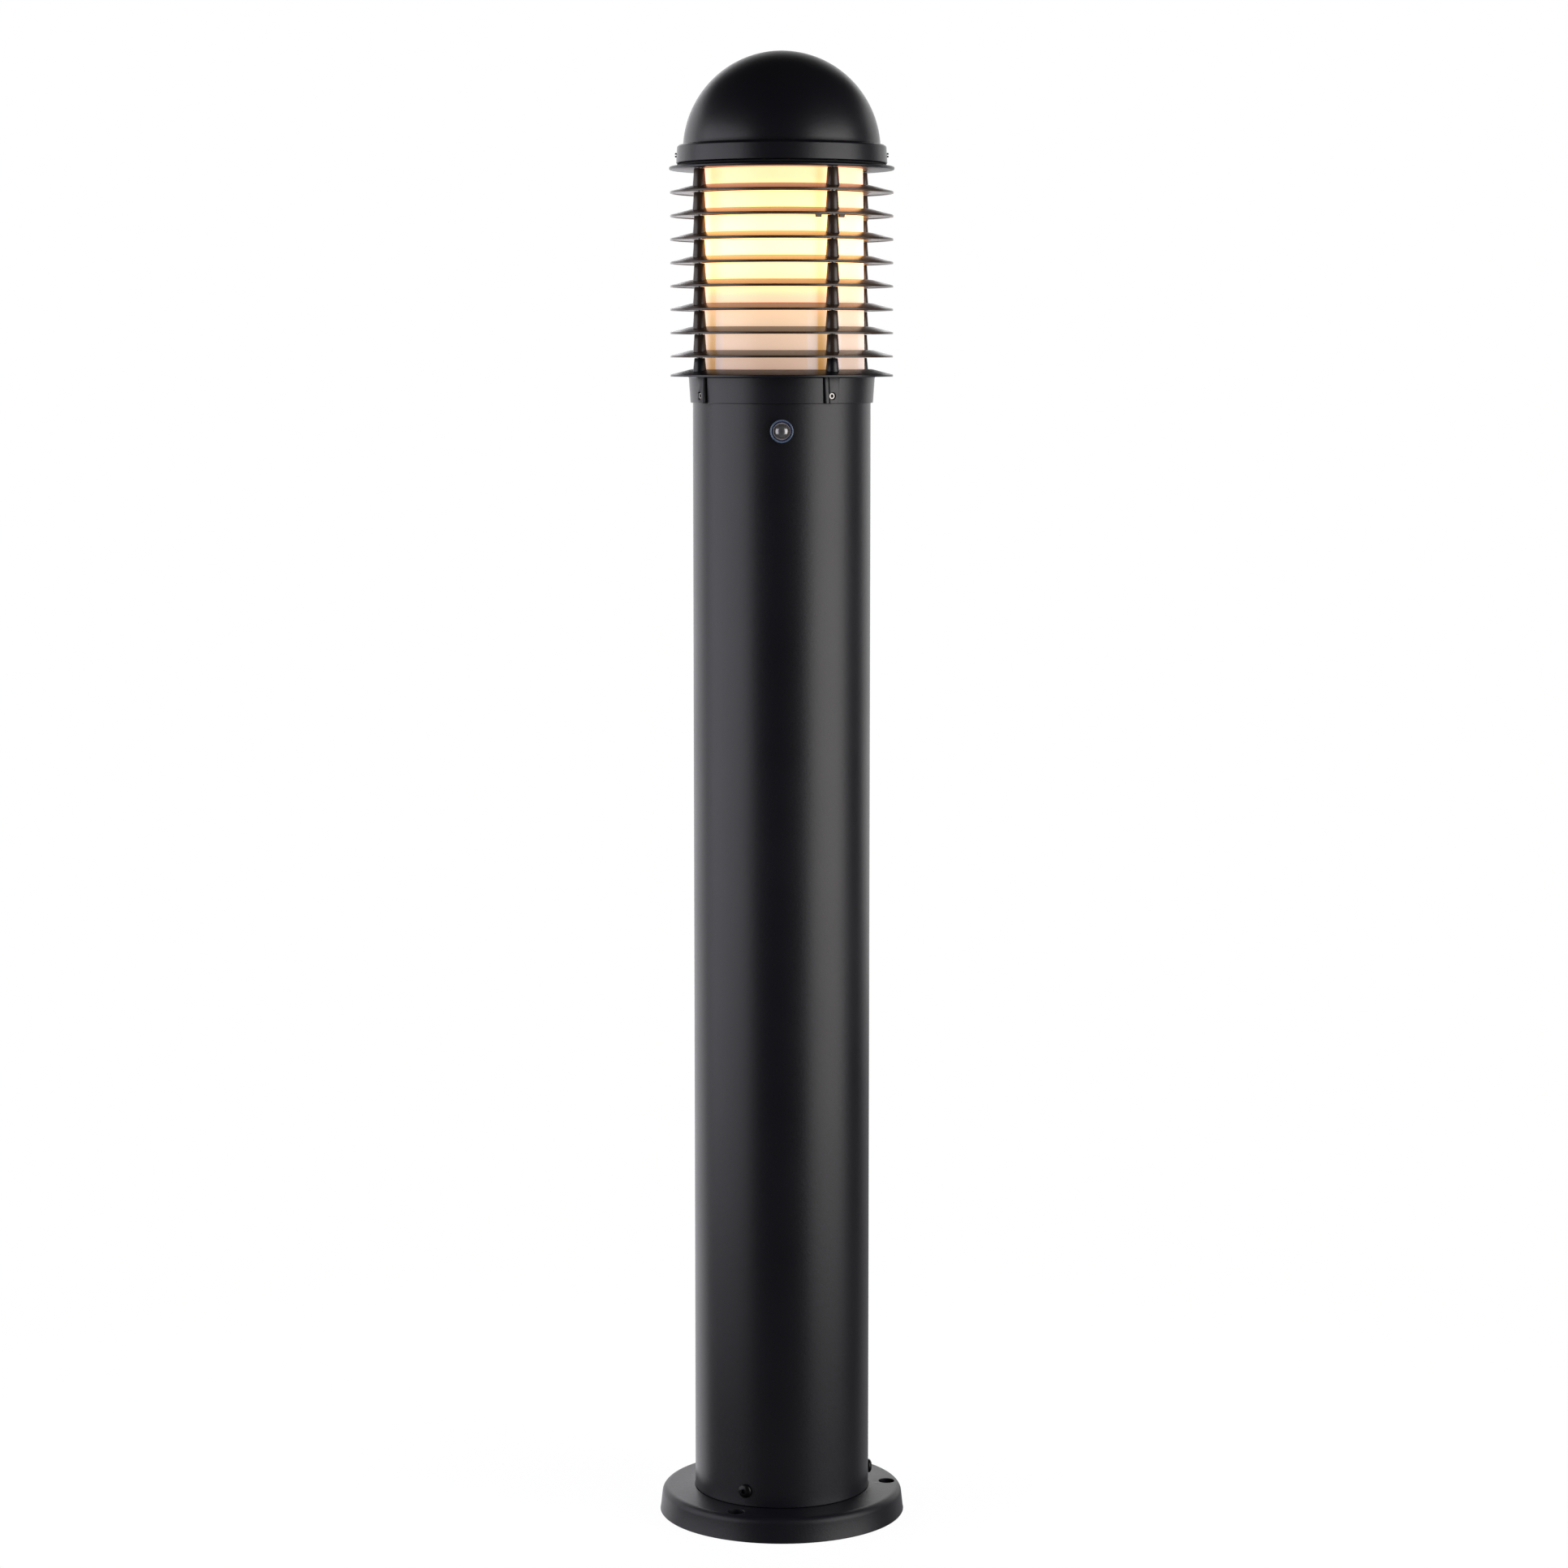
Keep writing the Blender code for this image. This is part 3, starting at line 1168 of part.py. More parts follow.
def sensor_body():
    """Potted sensor module inside the bush."""
    front = 2 * FIT_GAP + SENSOR_SEAL_HEIGHT + SENSOR_FLANGE_HEIGHT * SENSOR_FLOOR
    length = SENSOR_BODY_LENGTH + front
    outline = [(0, 0), (SENSOR_BODY_RADIUS, 0), (SENSOR_BODY_RADIUS, -length), (0, -length)]
    dress = finish("sensor_body_epoxy", (0.02, 0.02, 0.02), 0.5)
    return turned("sensor_body", outline, dress, sensor_place(front), outward(0), SMALL_STEPS)


def sensor_nut():
    """Hexagon nut inside the post, clear of the tube's curved wall."""
    corner = SENSOR_NUT_FLATS / 2 / cos(pi / HEXAGON)
    wall_y = (POST_BORE * cos(pi / ROUND_STEPS)) ** 2 - corner**2
    seat = sqrt(wall_y) - POST_RADIUS - FIT_GAP
    place = sensor_place(seat)
    return hex_nut("sensor_nut", corner, SENSOR_SHANK_RADIUS, SENSOR_NUT_HEIGHT, place, outward(0))


def settle():
    """Apply every piece's modifiers and shade its round faces smooth."""
    bpy.context.view_layer.update()
    graph = bpy.context.evaluated_depsgraph_get()
    pieces = [obj for obj in bpy.data.collections[PARTS].objects if obj.type == "MESH"]
    shapes = [bpy.data.meshes.new_from_object(obj.evaluated_get(graph)) for obj in pieces]
    for obj, shape in zip(pieces, shapes, strict=True):
        obj.modifiers.clear()
        obj.data = shape
        shape.shade_smooth()
        shape.set_sharp_from_angle(angle=SMOOTH_ANGLE)


def main():
    """Build every piece and hang the moving ones on their joints' axes."""
    clear_scene()
    new_collection(PARTS)
    new_collection(CUTTERS)
    base_flange()
    post_tube()
    post_screws()
    collar()
    collar_screws()
    louvre_rings()
    top_plate()
    tie_bolts()
    gasket = cap_gasket()
    diffuser_seal()
    gear_tray()
    tray_screws()
    tray_grommet()
    holder_bracket()
    lampholder()
    holder_nut()
    holder_contact()
    terminal_block()
    lamp_lead("lead_live", 1, (0.30, 0.12, 0.05))
    lamp_lead("lead_neutral", -1, (0.05, 0.16, 0.45))
    sensor_lead()
    earth_lead()
    sensor_seal()
    sensor_bezel()
    sensor_lens()
    sensor_body()
    sensor_nut()
    joint_axis("lamp_lift_axis", (0, 0, LAMP_CAP_Z), [lamp_cap(), lamp_body(), lamp_globe()])
    joint_axis("diffuser_lift_axis", (0, 0, DIFFUSER_FOOT_Z), [diffuser(), reflector()])
    cap_screws = [cap_screw("left", -90), cap_screw("right", 90)]
    joint_axis("cap_lift_axis", (0, 0, SKIRT_FOOT_Z), [cap(), gasket, *cap_screws])
    settle()


main()
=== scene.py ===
"""Looks of a bollard light: a louvred lantern head on a round post, lit from inside.

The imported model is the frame. Every piece here takes its size and place from that frame, is
modelled with Blender's operators, and rides on the body of the node that it stands for.
"""

import logging
from collections.abc import Callable, Iterator, Sequence
from contextlib import contextmanager
from dataclasses import dataclass
from enum import Enum
from functools import cached_property
from itertools import pairwise
from math import asin, atan2, cos, degrees, pi, radians, sin, sqrt

import bmesh
import bpy
from mathutils import Matrix, Vector


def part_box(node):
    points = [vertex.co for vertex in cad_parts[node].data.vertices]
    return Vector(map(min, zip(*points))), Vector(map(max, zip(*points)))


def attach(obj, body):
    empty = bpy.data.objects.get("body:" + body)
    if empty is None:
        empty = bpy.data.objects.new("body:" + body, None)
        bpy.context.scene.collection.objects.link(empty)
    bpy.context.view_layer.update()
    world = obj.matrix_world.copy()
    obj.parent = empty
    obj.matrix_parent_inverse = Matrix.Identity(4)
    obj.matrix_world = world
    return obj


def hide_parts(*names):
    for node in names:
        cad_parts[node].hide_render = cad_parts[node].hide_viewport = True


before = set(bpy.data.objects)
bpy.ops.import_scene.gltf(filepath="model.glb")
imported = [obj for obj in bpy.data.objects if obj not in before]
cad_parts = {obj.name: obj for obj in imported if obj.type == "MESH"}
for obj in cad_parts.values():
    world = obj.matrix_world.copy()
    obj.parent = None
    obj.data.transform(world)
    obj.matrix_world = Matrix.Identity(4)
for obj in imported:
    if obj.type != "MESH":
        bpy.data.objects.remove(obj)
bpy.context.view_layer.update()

MM = 0.001
GAP = 0.3 * MM  # left between pieces that touch
PAST = 4 * MM  # how far a cutter runs past a wall
BOLT_COUNT = 4
log = logging.getLogger("bollard_light")

Station = tuple[float, float]
Color = tuple[float, float, float]
Object = bpy.types.Object
Material = bpy.types.Material


class Body(str, Enum):
    """The bodies that a piece can ride on."""

    ROOT = "root"
    LAMP = "lamp"
    DIFFUSER = "diffuser_unit"
    CAP = "cap_unit"
    SCREW_LEFT = "cap_screw_left_unit"
    SCREW_RIGHT = "cap_screw_right_unit"


class Sides(int, Enum):
    """How many sides a round piece has."""

    LARGE = 160
    MEDIUM = 72
    SMALL = 40


# ---- places taken from the frame ----
@dataclass(frozen=True)
class NodeBox:
    """Lowest and highest corner of a node of the frame."""

    low: Vector
    high: Vector

    @classmethod
    def of(cls, node: str) -> "NodeBox":
        """The box of the node with this name."""
        low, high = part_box(node)
        return cls(Vector(low), Vector(high))

    @property
    def radius(self) -> float:
        """Half the width along X."""
        return (self.high.x - self.low.x) / 2

    @property
    def middle(self) -> Vector:
        """The centre of the box."""
        return (self.low + self.high) / 2

    @property
    def height(self) -> float:
        """The size along Z."""
        return self.high.z - self.low.z

    @property
    def angle(self) -> float:
        """Angle round the post, from the front toward +X, in radians."""
        return atan2(self.middle.x, -self.middle.y)

    @property
    def reach(self) -> float:
        """Distance of the middle from the post's axis."""
        return sqrt(self.middle.x**2 + self.middle.y**2)


def around(reach: float, angle: float, height: float = 0.0) -> Vector:
    """A point at an angle round the post.

    Args:
        reach: Distance from the post's axis.
        angle: Angle from the front toward +X, in radians.
        height: Height above the ground.

    Returns:
        The point.
    """
    return Vector((reach * sin(angle), -reach * cos(angle), height))


def facing(reach: float, angle: float, height: float) -> Matrix:
    """The place of a piece whose own +Z points out along the radius.

    Args:
        reach: Distance of the piece's origin from the post's axis.
        angle: Angle from the front toward +X, in radians.
        height: Height above the ground.

    Returns:
        The matrix that lays the piece there.
    """
    turn = Matrix.Rotation(angle, 4, "Z") @ Matrix.Rotation(pi / 2, 4, "X")
    return Matrix.Translation(around(reach, angle, height)) @ turn


def arc(centre: Station, radii: Station, start: float, end: float, steps: int) -> list[Station]:
    """Points of an elliptic arc in the (radius, height) plane.

    Args:
        centre: The arc's centre.
        radii: Its half axes along the radius and the height.
        start: First angle, in degrees from the outward radius.
        end: Last angle, in degrees.
        steps: Number of segments.

    Returns:
        The points, both ends included.
    """
    turns = [radians(start + (end - start) * step / steps) for step in range(steps + 1)]
    return [(centre[0] + radii[0] * cos(t), centre[1] + radii[1] * sin(t)) for t in turns]


# ---- modelling moves ----
BEVEL_ANGLE = radians(35)
SHARP_ANGLE = radians(32)


def pick(*objects: Object) -> None:
    """Select only these objects, the first of them active.

    Args:
        *objects: The objects.
    """
    bpy.ops.object.select_all(action="DESELECT")
    for obj in objects:
        obj.select_set(True)
    bpy.context.view_layer.objects.active = objects[0]


@contextmanager
def editing(obj: Object, kind: str = "VERT") -> Iterator[None]:
    """Edit mode on one object.

    Args:
        obj: The object.
        kind: What is selected in it: VERT, EDGE or FACE.

    Yields:
        Nothing, while the object is in edit mode.
    """
    pick(obj)
    bpy.ops.object.mode_set(mode="EDIT")
    bpy.ops.mesh.select_mode(type=kind)
    yield
    bpy.ops.object.mode_set(mode="OBJECT")


def select_where(obj: Object, rule: Callable[[Vector], bool]) -> None:
    """Select the vertices whose place meets a rule.

    Args:
        obj: The object, in edit mode.
        rule: Says of a place whether it is wanted.
    """
    shape = bmesh.from_edit_mesh(obj.data)
    for vert in shape.verts:
        vert.select = rule(vert.co)
    shape.select_flush(True)
    shape.select_flush(False)
    bmesh.update_edit_mesh(obj.data)


def face_out(obj: Object) -> None:
    """Turn every face of a closed piece outward.

    Args:
        obj: The piece.
    """
    with editing(obj, "FACE"):
        bpy.ops.mesh.select_all(action="SELECT")
        bpy.ops.mesh.normals_make_consistent(inside=False)


def apply_modifier(obj: Object, kind: str, **settings: object) -> Object:
    """Add a modifier and apply it.

    Args:
        obj: The piece.
        kind: The modifier's type.
        **settings: Its properties.

    Returns:
        The piece.
    """
    step = obj.modifiers.new(kind.title(), kind)
    for key, value in settings.items():
        setattr(step, key, value)
    pick(obj)
    bpy.ops.object.modifier_apply(modifier=step.name)
    return obj


def round_edges(obj: Object, width: float) -> Object:
    """Round the piece's sharp edges.

    Args:
        obj: The piece.
        width: How wide the rounding is.

    Returns:
        The piece.
    """
    settings = {"limit_method": "ANGLE", "angle_limit": BEVEL_ANGLE, "use_clamp_overlap": True}
    return apply_modifier(obj, "BEVEL", width=width, segments=3, **settings)


def combine(obj: Object, tool: Object, operation: str) -> Object:
    """Join a tool to the piece or cut it away, then remove the tool.

    Args:
        obj: The piece.
        tool: The tool.
        operation: UNION or DIFFERENCE.

    Returns:
        The piece.
    """
    apply_modifier(obj, "BOOLEAN", object=tool, operation=operation, solver="EXACT")
    bpy.data.objects.remove(tool, do_unlink=True)
    return obj


def place(obj: Object, matrix: Matrix) -> Object:
    """Lay a piece in its place, and leave its object at the origin.

    Args:
        obj: The piece.
        matrix: The place.

    Returns:
        The piece.
    """
    obj.matrix_world = matrix
    pick(obj)
    bpy.ops.object.transform_apply(location=True, rotation=True, scale=True)
    return obj


def duplicate(obj: Object, name: str) -> Object:
    """A copy of a piece, with its own mesh.

    Args:
        obj: The piece.
        name: The copy's name.

    Returns:
        The copy.
    """
    copy = obj.copy()
    copy.data = obj.data.copy()
    copy.name = name
    bpy.context.scene.collection.objects.link(copy)
    return copy


def turned(name: str, stations: Sequence[Station], sides: int = Sides.LARGE) -> Object:
    """Raise a turned piece from a circle, ring by ring.

    Args:
        name: The piece's name.
        stations: (radius, height) of each ring. A radius of 0 at an end closes it on the axis,
            and with none the last ring is bridged to the first.
        sides: Number of sides.

    Returns:
        The piece.
    """
    rings = [station for station in stations if station[0] > 0]
    bpy.ops.object.select_all(action="DESELECT")
    bpy.ops.mesh.primitive_circle_add(vertices=int(sides), radius=rings[0][0])
    obj = bpy.context.object
    obj.name = name
    with editing(obj, "EDGE"):
        bpy.ops.mesh.select_all(action="SELECT")
        bpy.ops.transform.translate(value=(0, 0, rings[0][1]))
        for before, after in pairwise(rings):
            raise_ring(before, after)
        if stations[-1][0] == 0:
            close_on_axis(rings[-1], stations[-1])
        bpy.ops.mesh.select_all(action="DESELECT")
        bpy.ops.mesh.select_non_manifold()
        if stations[0][0] == 0:
            close_on_axis(rings[0], stations[0])
        elif stations[-1][0] > 0:
            bpy.ops.mesh.bridge_edge_loops()
    face_out(obj)
    return obj


def raise_ring(before: Station, after: Station) -> None:
    """Extrude the selected ring to the next one.

    Args:
        before: Radius and height of the selected ring.
        after: Radius and height of the next.
    """
    rise = {"value": (0, 0, after[1] - before[1])}
    bpy.ops.mesh.extrude_edges_move(TRANSFORM_OT_translate=rise)
    grow = after[0] / before[0]
    bpy.ops.transform.resize(value=(grow, grow, 1), center_override=(0, 0, after[1]))


def close_on_axis(ring: Station, pole: Station) -> None:
    """Extrude the selected ring to a point on the axis.

    Args:
        ring: Radius and height of the ring.
        pole: The point, whose radius is 0.
    """
    rise = {"value": (0, 0, pole[1] - ring[1])}
    bpy.ops.mesh.extrude_edges_move(TRANSFORM_OT_translate=rise)
    bpy.ops.mesh.merge(type="CENTER")


def rod(name: str, start: Vector, end: Vector, radius: float, sides: int = Sides.SMALL) -> Object:
    """A straight round bar between two points, mostly used as a cutter.

    Args:
        name: The bar's name.
        start: One end.
        end: The other end.
        radius: Its radius.
        sides: Number of sides.

    Returns:
        The bar.
    """
    axis = end - start
    bpy.ops.object.select_all(action="DESELECT")
    bpy.ops.mesh.primitive_cylinder_add(vertices=int(sides), radius=radius, depth=axis.length)
    obj = bpy.context.object
    obj.name = name
    turn = axis.to_track_quat("Z", "Y").to_matrix().to_4x4()
    return place(obj, Matrix.Translation((start + end) / 2) @ turn)


def slab(name: str, size: Sequence[float], taper: float = 1.0, round_off: float = 0.0) -> Object:
    """A block round the origin, narrowed along X at its foot, with rounded edges.

    Args:
        name: The block's name.
        size: Its sizes along X, Y and Z.
        taper: Width of its foot over the width of its top.
        round_off: Width of its rounded edges.

    Returns:
        The block.
    """
    bpy.ops.object.select_all(action="DESELECT")
    bpy.ops.mesh.primitive_cube_add(size=1.0, scale=size)
    obj = bpy.context.object
    obj.name = name
    bpy.ops.object.transform_apply(location=True, rotation=True, scale=True)
    with editing(obj):
        select_where(obj, lambda at: at.z < 0)
        foot = (0, 0, -size[2] / 2)
        bpy.ops.transform.resize(value=(taper, 1, 1), center_override=foot)
    return round_edges(obj, round_off) if round_off else obj


def settle(obj: Object, dress: Material, body: Body, *nodes: str) -> None:
    """Dress a finished piece, set it on its body and let it stand for its nodes.

    Args:
        obj: The piece.
        dress: Its material.
        body: The body that it rides on.
        *nodes: The nodes of the frame that it replaces.
    """
    pick(obj)
    bpy.ops.object.shade_smooth_by_angle(angle=SHARP_ANGLE)
    obj.data.materials.clear()
    obj.data.materials.append(dress)
    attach(obj, body.value)
    if nodes:
        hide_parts(*nodes)
    log.info("%s: %d faces on %s", obj.name, len(obj.data.polygons), body.value)


def dress_node(node: str, dress: Material) -> None:
    """Give a node of the frame its finish.

    Args:
        node: The node's name.
        dress: Its material.
    """
    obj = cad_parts[node]
    for holder in obj.material_slots:
        holder.material = dress
    log.info("%s: finish %s", node, dress.name)


# ---- shader maths ----
class Signal:
    """A node's output, which can be used in plain arithmetic."""

    def __init__(self, graph: "Graph", socket: bpy.types.NodeSocket) -> None:
        """Wrap one socket of a graph."""
        self.graph = graph
        self.socket = socket

    def __add__(self, other: "Signal | float") -> "Signal":
        """The sum."""
        return self.graph.math("ADD", self, other)

    def __sub__(self, other: "Signal | float") -> "Signal":
        """The difference."""
        return self.graph.math("SUBTRACT", self, other)

    def __rsub__(self, other: float) -> "Signal":
        """The difference, with the number first."""
        return self.graph.math("SUBTRACT", other, self)

    def __mul__(self, other: "Signal | float") -> "Signal":
        """The product."""
        return self.graph.math("MULTIPLY", self, other)

    def __pow__(self, other: "Signal | float") -> "Signal":
        """The power."""
        return self.graph.math("POWER", self, other)


class Graph:
    """The node tree of one material."""

    def __init__(self, name: str) -> None:
        """Start an empty material.

        Args:
            name: The material's name.
        """
        self.material = bpy.data.materials.new(name)
        self.material.use_nodes = True
        self.tree = self.material.node_tree
        self.tree.nodes.clear()

    def node(
        self,
        kind: str,
        settings: dict[str, object] | None = None,
        inputs: dict[str | int, object] | None = None,
        output: str | int = 0,
    ) -> Signal:
        """Add a node.

        Args:
            kind: The node's type.
            settings: Its properties, and "stops" for a ramp's positions and colours.
            inputs: Values or signals for its sockets, by name or number.
            output: The output to return.

        Returns:
            That output.
        """
        made = self.tree.nodes.new(kind)
        for key, value in (settings or {}).items():
            if key == "stops":
                self.set_stops(made.color_ramp, value)
            else:
                setattr(made, key, value)
        for key, value in (inputs or {}).items():
            if isinstance(value, Signal):
                self.tree.links.new(value.socket, made.inputs[key])
            else:
                made.inputs[key].default_value = value
        return Signal(self, made.outputs[output])

    @staticmethod
    def set_stops(ramp: bpy.types.ColorRamp, stops: Sequence[tuple[float, Color]]) -> None:
        """Give a ramp its stops.

        Args:
            ramp: The ramp.
            stops: Position and colour of each stop, from low to high.
        """
        while len(ramp.elements) < len(stops):
            ramp.elements.new(1.0)
        for element, (position, color) in zip(ramp.elements, stops, strict=True):
            element.position = position
            element.color = (*color, 1.0)

    def math(self, operation: str, *values: Signal | float) -> Signal:
        """One Math node."""
        return self.node("ShaderNodeMath", {"operation": operation}, dict(enumerate(values)))

    @cached_property
    def place(self) -> Signal:
        """Position on the piece, in metres."""
        return self.node("ShaderNodeTexCoord", output="Object")

    @cached_property
    def axes(self) -> tuple[Signal, Signal, Signal]:
        """The position's X, Y and Z.

        Returns:
            One signal for each.
        """
        split = self.node("ShaderNodeSeparateXYZ", inputs={0: self.place})
        outputs = split.socket.node.outputs
        return Signal(self, outputs[0]), Signal(self, outputs[1]), Signal(self, outputs[2])

    def noise(self, scale: float, detail: float = 2.0, stretch: Color = (1, 1, 1)) -> Signal:
        """Noise over the piece.

        Args:
            scale: Features a metre.
            detail: Octaves of finer noise.
            stretch: Factor on the scale along each axis.

        Returns:
            The noise, from 0 to 1.
        """
        held = self.node("ShaderNodeMapping", inputs={"Vector": self.place, "Scale": stretch})
        inputs = {"Vector": held, "Scale": scale, "Detail": detail}
        return self.node("ShaderNodeTexNoise", inputs=inputs)

    def ramp(self, factor: Signal, stops: Sequence[tuple[float, Color]]) -> Signal:
        """Colours along a factor."""
        return self.node("ShaderNodeValToRGB", {"stops": stops}, {0: factor})

    def step(self, value: Signal, low: float, high: float) -> Signal:
        """0 below low, 1 above high, and a smooth rise between."""
        settings = {"interpolation_type": "SMOOTHSTEP"}
        return self.node("ShaderNodeMapRange", settings, {0: value, 1: low, 2: high})

    def blend(self, factor: Signal, first: object, second: object, kind: str = "MIX") -> Signal:
        """Two colours mixed by a factor.

        Args:
            factor: 0 for the first, 1 for the second.
            first: A signal or a colour.
            second: A signal or a colour.
            kind: The way that the second is laid on the first.

        Returns:
            The mixed colour.
        """
        inputs = {0: factor}
        for key, value in ((6, first), (7, second)):
            inputs[key] = value if isinstance(value, Signal) else (*value, 1.0)
        settings = {"data_type": "RGBA", "blend_type": kind}
        return self.node("ShaderNodeMix", settings, inputs, 2)

    def bump(self, height: Signal, depth: float, strength: float = 1.0) -> Signal:
        """A normal bent by a height, this deep in metres."""
        inputs = {"Height": height, "Distance": depth, "Strength": strength}
        return self.node("ShaderNodeBump", inputs=inputs)

    def finish(self, **inputs: object) -> Material:
        """Close the graph with a Principled shader.

        Args:
            **inputs: Its sockets, with underscores for spaces.

        Returns:
            The material.
        """
        named = {key.replace("_", " "): value for key, value in inputs.items()}
        for key, value in named.items():
            if key.endswith("Color") and not isinstance(value, Signal):
                named[key] = (*value, 1.0)
        shader = self.node("ShaderNodeBsdfPrincipled", inputs=named)
        out = self.tree.nodes.new("ShaderNodeOutputMaterial")
        self.tree.links.new(shader.socket, out.inputs["Surface"])
        return self.material


# ---- finishes ----
# Soft edge of the diffuser's painted light and shade stripes, in degrees.
STRIPE_BLUR = 0.35  # degrees


@dataclass(frozen=True)
class PowderCoat:
    """Satin polyester powder coat, with its fine orange peel and a little dust."""

    name: str
    color: Color = (0.0034, 0.0032, 0.0062)
    roughness: float = 0.37
    grain_depth: float = 0.00006
    speckle: float = 0.45
    shine: float = 0.5

    def material(self) -> Material:
        """Build the finish.

        Returns:
            Its material.
        """
        graph = Graph(self.name)
        cloud = graph.noise(14.0, 3.0)
        grain = graph.noise(900.0, 3.0)
        speck = graph.step(graph.noise(2200.0, 0.0), 0.62, 0.74)
        lighter = tuple(min(1.0, part * 1.5 + 0.004) for part in self.color)
        worn = graph.blend(cloud, self.color, lighter)
        color = graph.blend(speck * self.speckle, worn, tuple(part * 2.8 for part in self.color))
        roughness = cloud * 0.08 + grain * 0.10 + (self.roughness - 0.09)
        peel = graph.noise(260.0, 1.0)
        normal = graph.bump(grain + peel * 0.8, self.grain_depth, 0.55)
        return graph.finish(
            Base_Color=color, Roughness=roughness, Normal=normal, Specular_IOR_Level=self.shine
        )


@dataclass(frozen=True)
class TurnedSteel:
    """Machined steel with fine turning marks."""

    name: str
    color: Color = (0.62, 0.61, 0.58)
    roughness: float = 0.28
    metallic: float = 1.0

    def material(self) -> Material:
        """Build the finish.

        Returns:
            Its material.
        """
        graph = Graph(self.name)
        marks = graph.noise(1500.0, 1.0, (1, 1, 3))
        cloud = graph.noise(220.0, 2.0)
        darker = tuple(part * 0.72 for part in self.color)
        color = graph.blend(cloud, darker, self.color)
        roughness = marks * 0.14 + (self.roughness - 0.07)
        normal = graph.bump(marks, 0.00001, 0.6)
        return graph.finish(
            Base_Color=color, Roughness=roughness, Normal=normal, Metallic=self.metallic
        )


@dataclass(frozen=True)
class ZincPlate:
    """Zinc-plated sheet or fasteners, with a faint spangle and dull patches."""

    name: str
    color: Color = (0.60, 0.60, 0.58)

    def material(self) -> Material:
        """Build the finish.

        Returns:
            Its material.
        """
        graph = Graph(self.name)
        inputs = {"Vector": graph.place, "Scale": 190.0}
        spangle = graph.node("ShaderNodeTexVoronoi", inputs=inputs)
        cloud = graph.noise(60.0, 3.0)
        warm = (self.color[0] * 0.86, self.color[1] * 0.83, self.color[2] * 0.76)
        color = graph.blend(cloud, self.color, warm)
        roughness = spangle * 0.12 + cloud * 0.12 + 0.24
        return graph.finish(Base_Color=color, Roughness=roughness, Metallic=0.9)


@dataclass(frozen=True)
class Rubber:
    """Matt black moulded rubber."""

    name: str

    def material(self) -> Material:
        """Build the finish.

        Returns:
            Its material.
        """
        graph = Graph(self.name)
        bloom = graph.noise(120.0, 3.0)
        color = graph.blend(bloom, (0.006, 0.006, 0.006), (0.018, 0.018, 0.017))
        normal = graph.bump(graph.noise(1800.0), 0.00003, 0.5)
        return graph.finish(Base_Color=color, Roughness=bloom * 0.1 + 0.72, Normal=normal)


@dataclass(frozen=True)
class Moulding:
    """Plain moulded plastic, ceramic or enamel, with a soft texture."""

    name: str
    color: Color
    roughness: float = 0.45
    texture: float = 700.0
    depth: float = 0.00001

    def material(self) -> Material:
        """Build the finish.

        Returns:
            Its material.
        """
        graph = Graph(self.name)
        cloud = graph.noise(45.0, 3.0)
        shaded = tuple(part * 0.86 for part in self.color)
        color = graph.blend(cloud, self.color, shaded)
        normal = graph.bump(graph.noise(self.texture), self.depth, 0.5)
        roughness = cloud * 0.10 + (self.roughness - 0.05)
        return graph.finish(Base_Color=color, Roughness=roughness, Normal=normal)


@dataclass(frozen=True)
class EarthInsulation:
    """Green lead insulation with a yellow stripe."""

    name: str

    def material(self) -> Material:
        """Build the finish.

        Returns:
            Its material.
        """
        graph = Graph(self.name)
        x, y, z = graph.axes
        stripe = graph.math("FRACT", (x + y + z) * 55.0)
        mask = graph.step(stripe, 0.48, 0.52)
        color = graph.blend(mask, (0.05, 0.28, 0.05), (0.75, 0.62, 0.04))
        return graph.finish(Base_Color=color, Roughness=0.42)


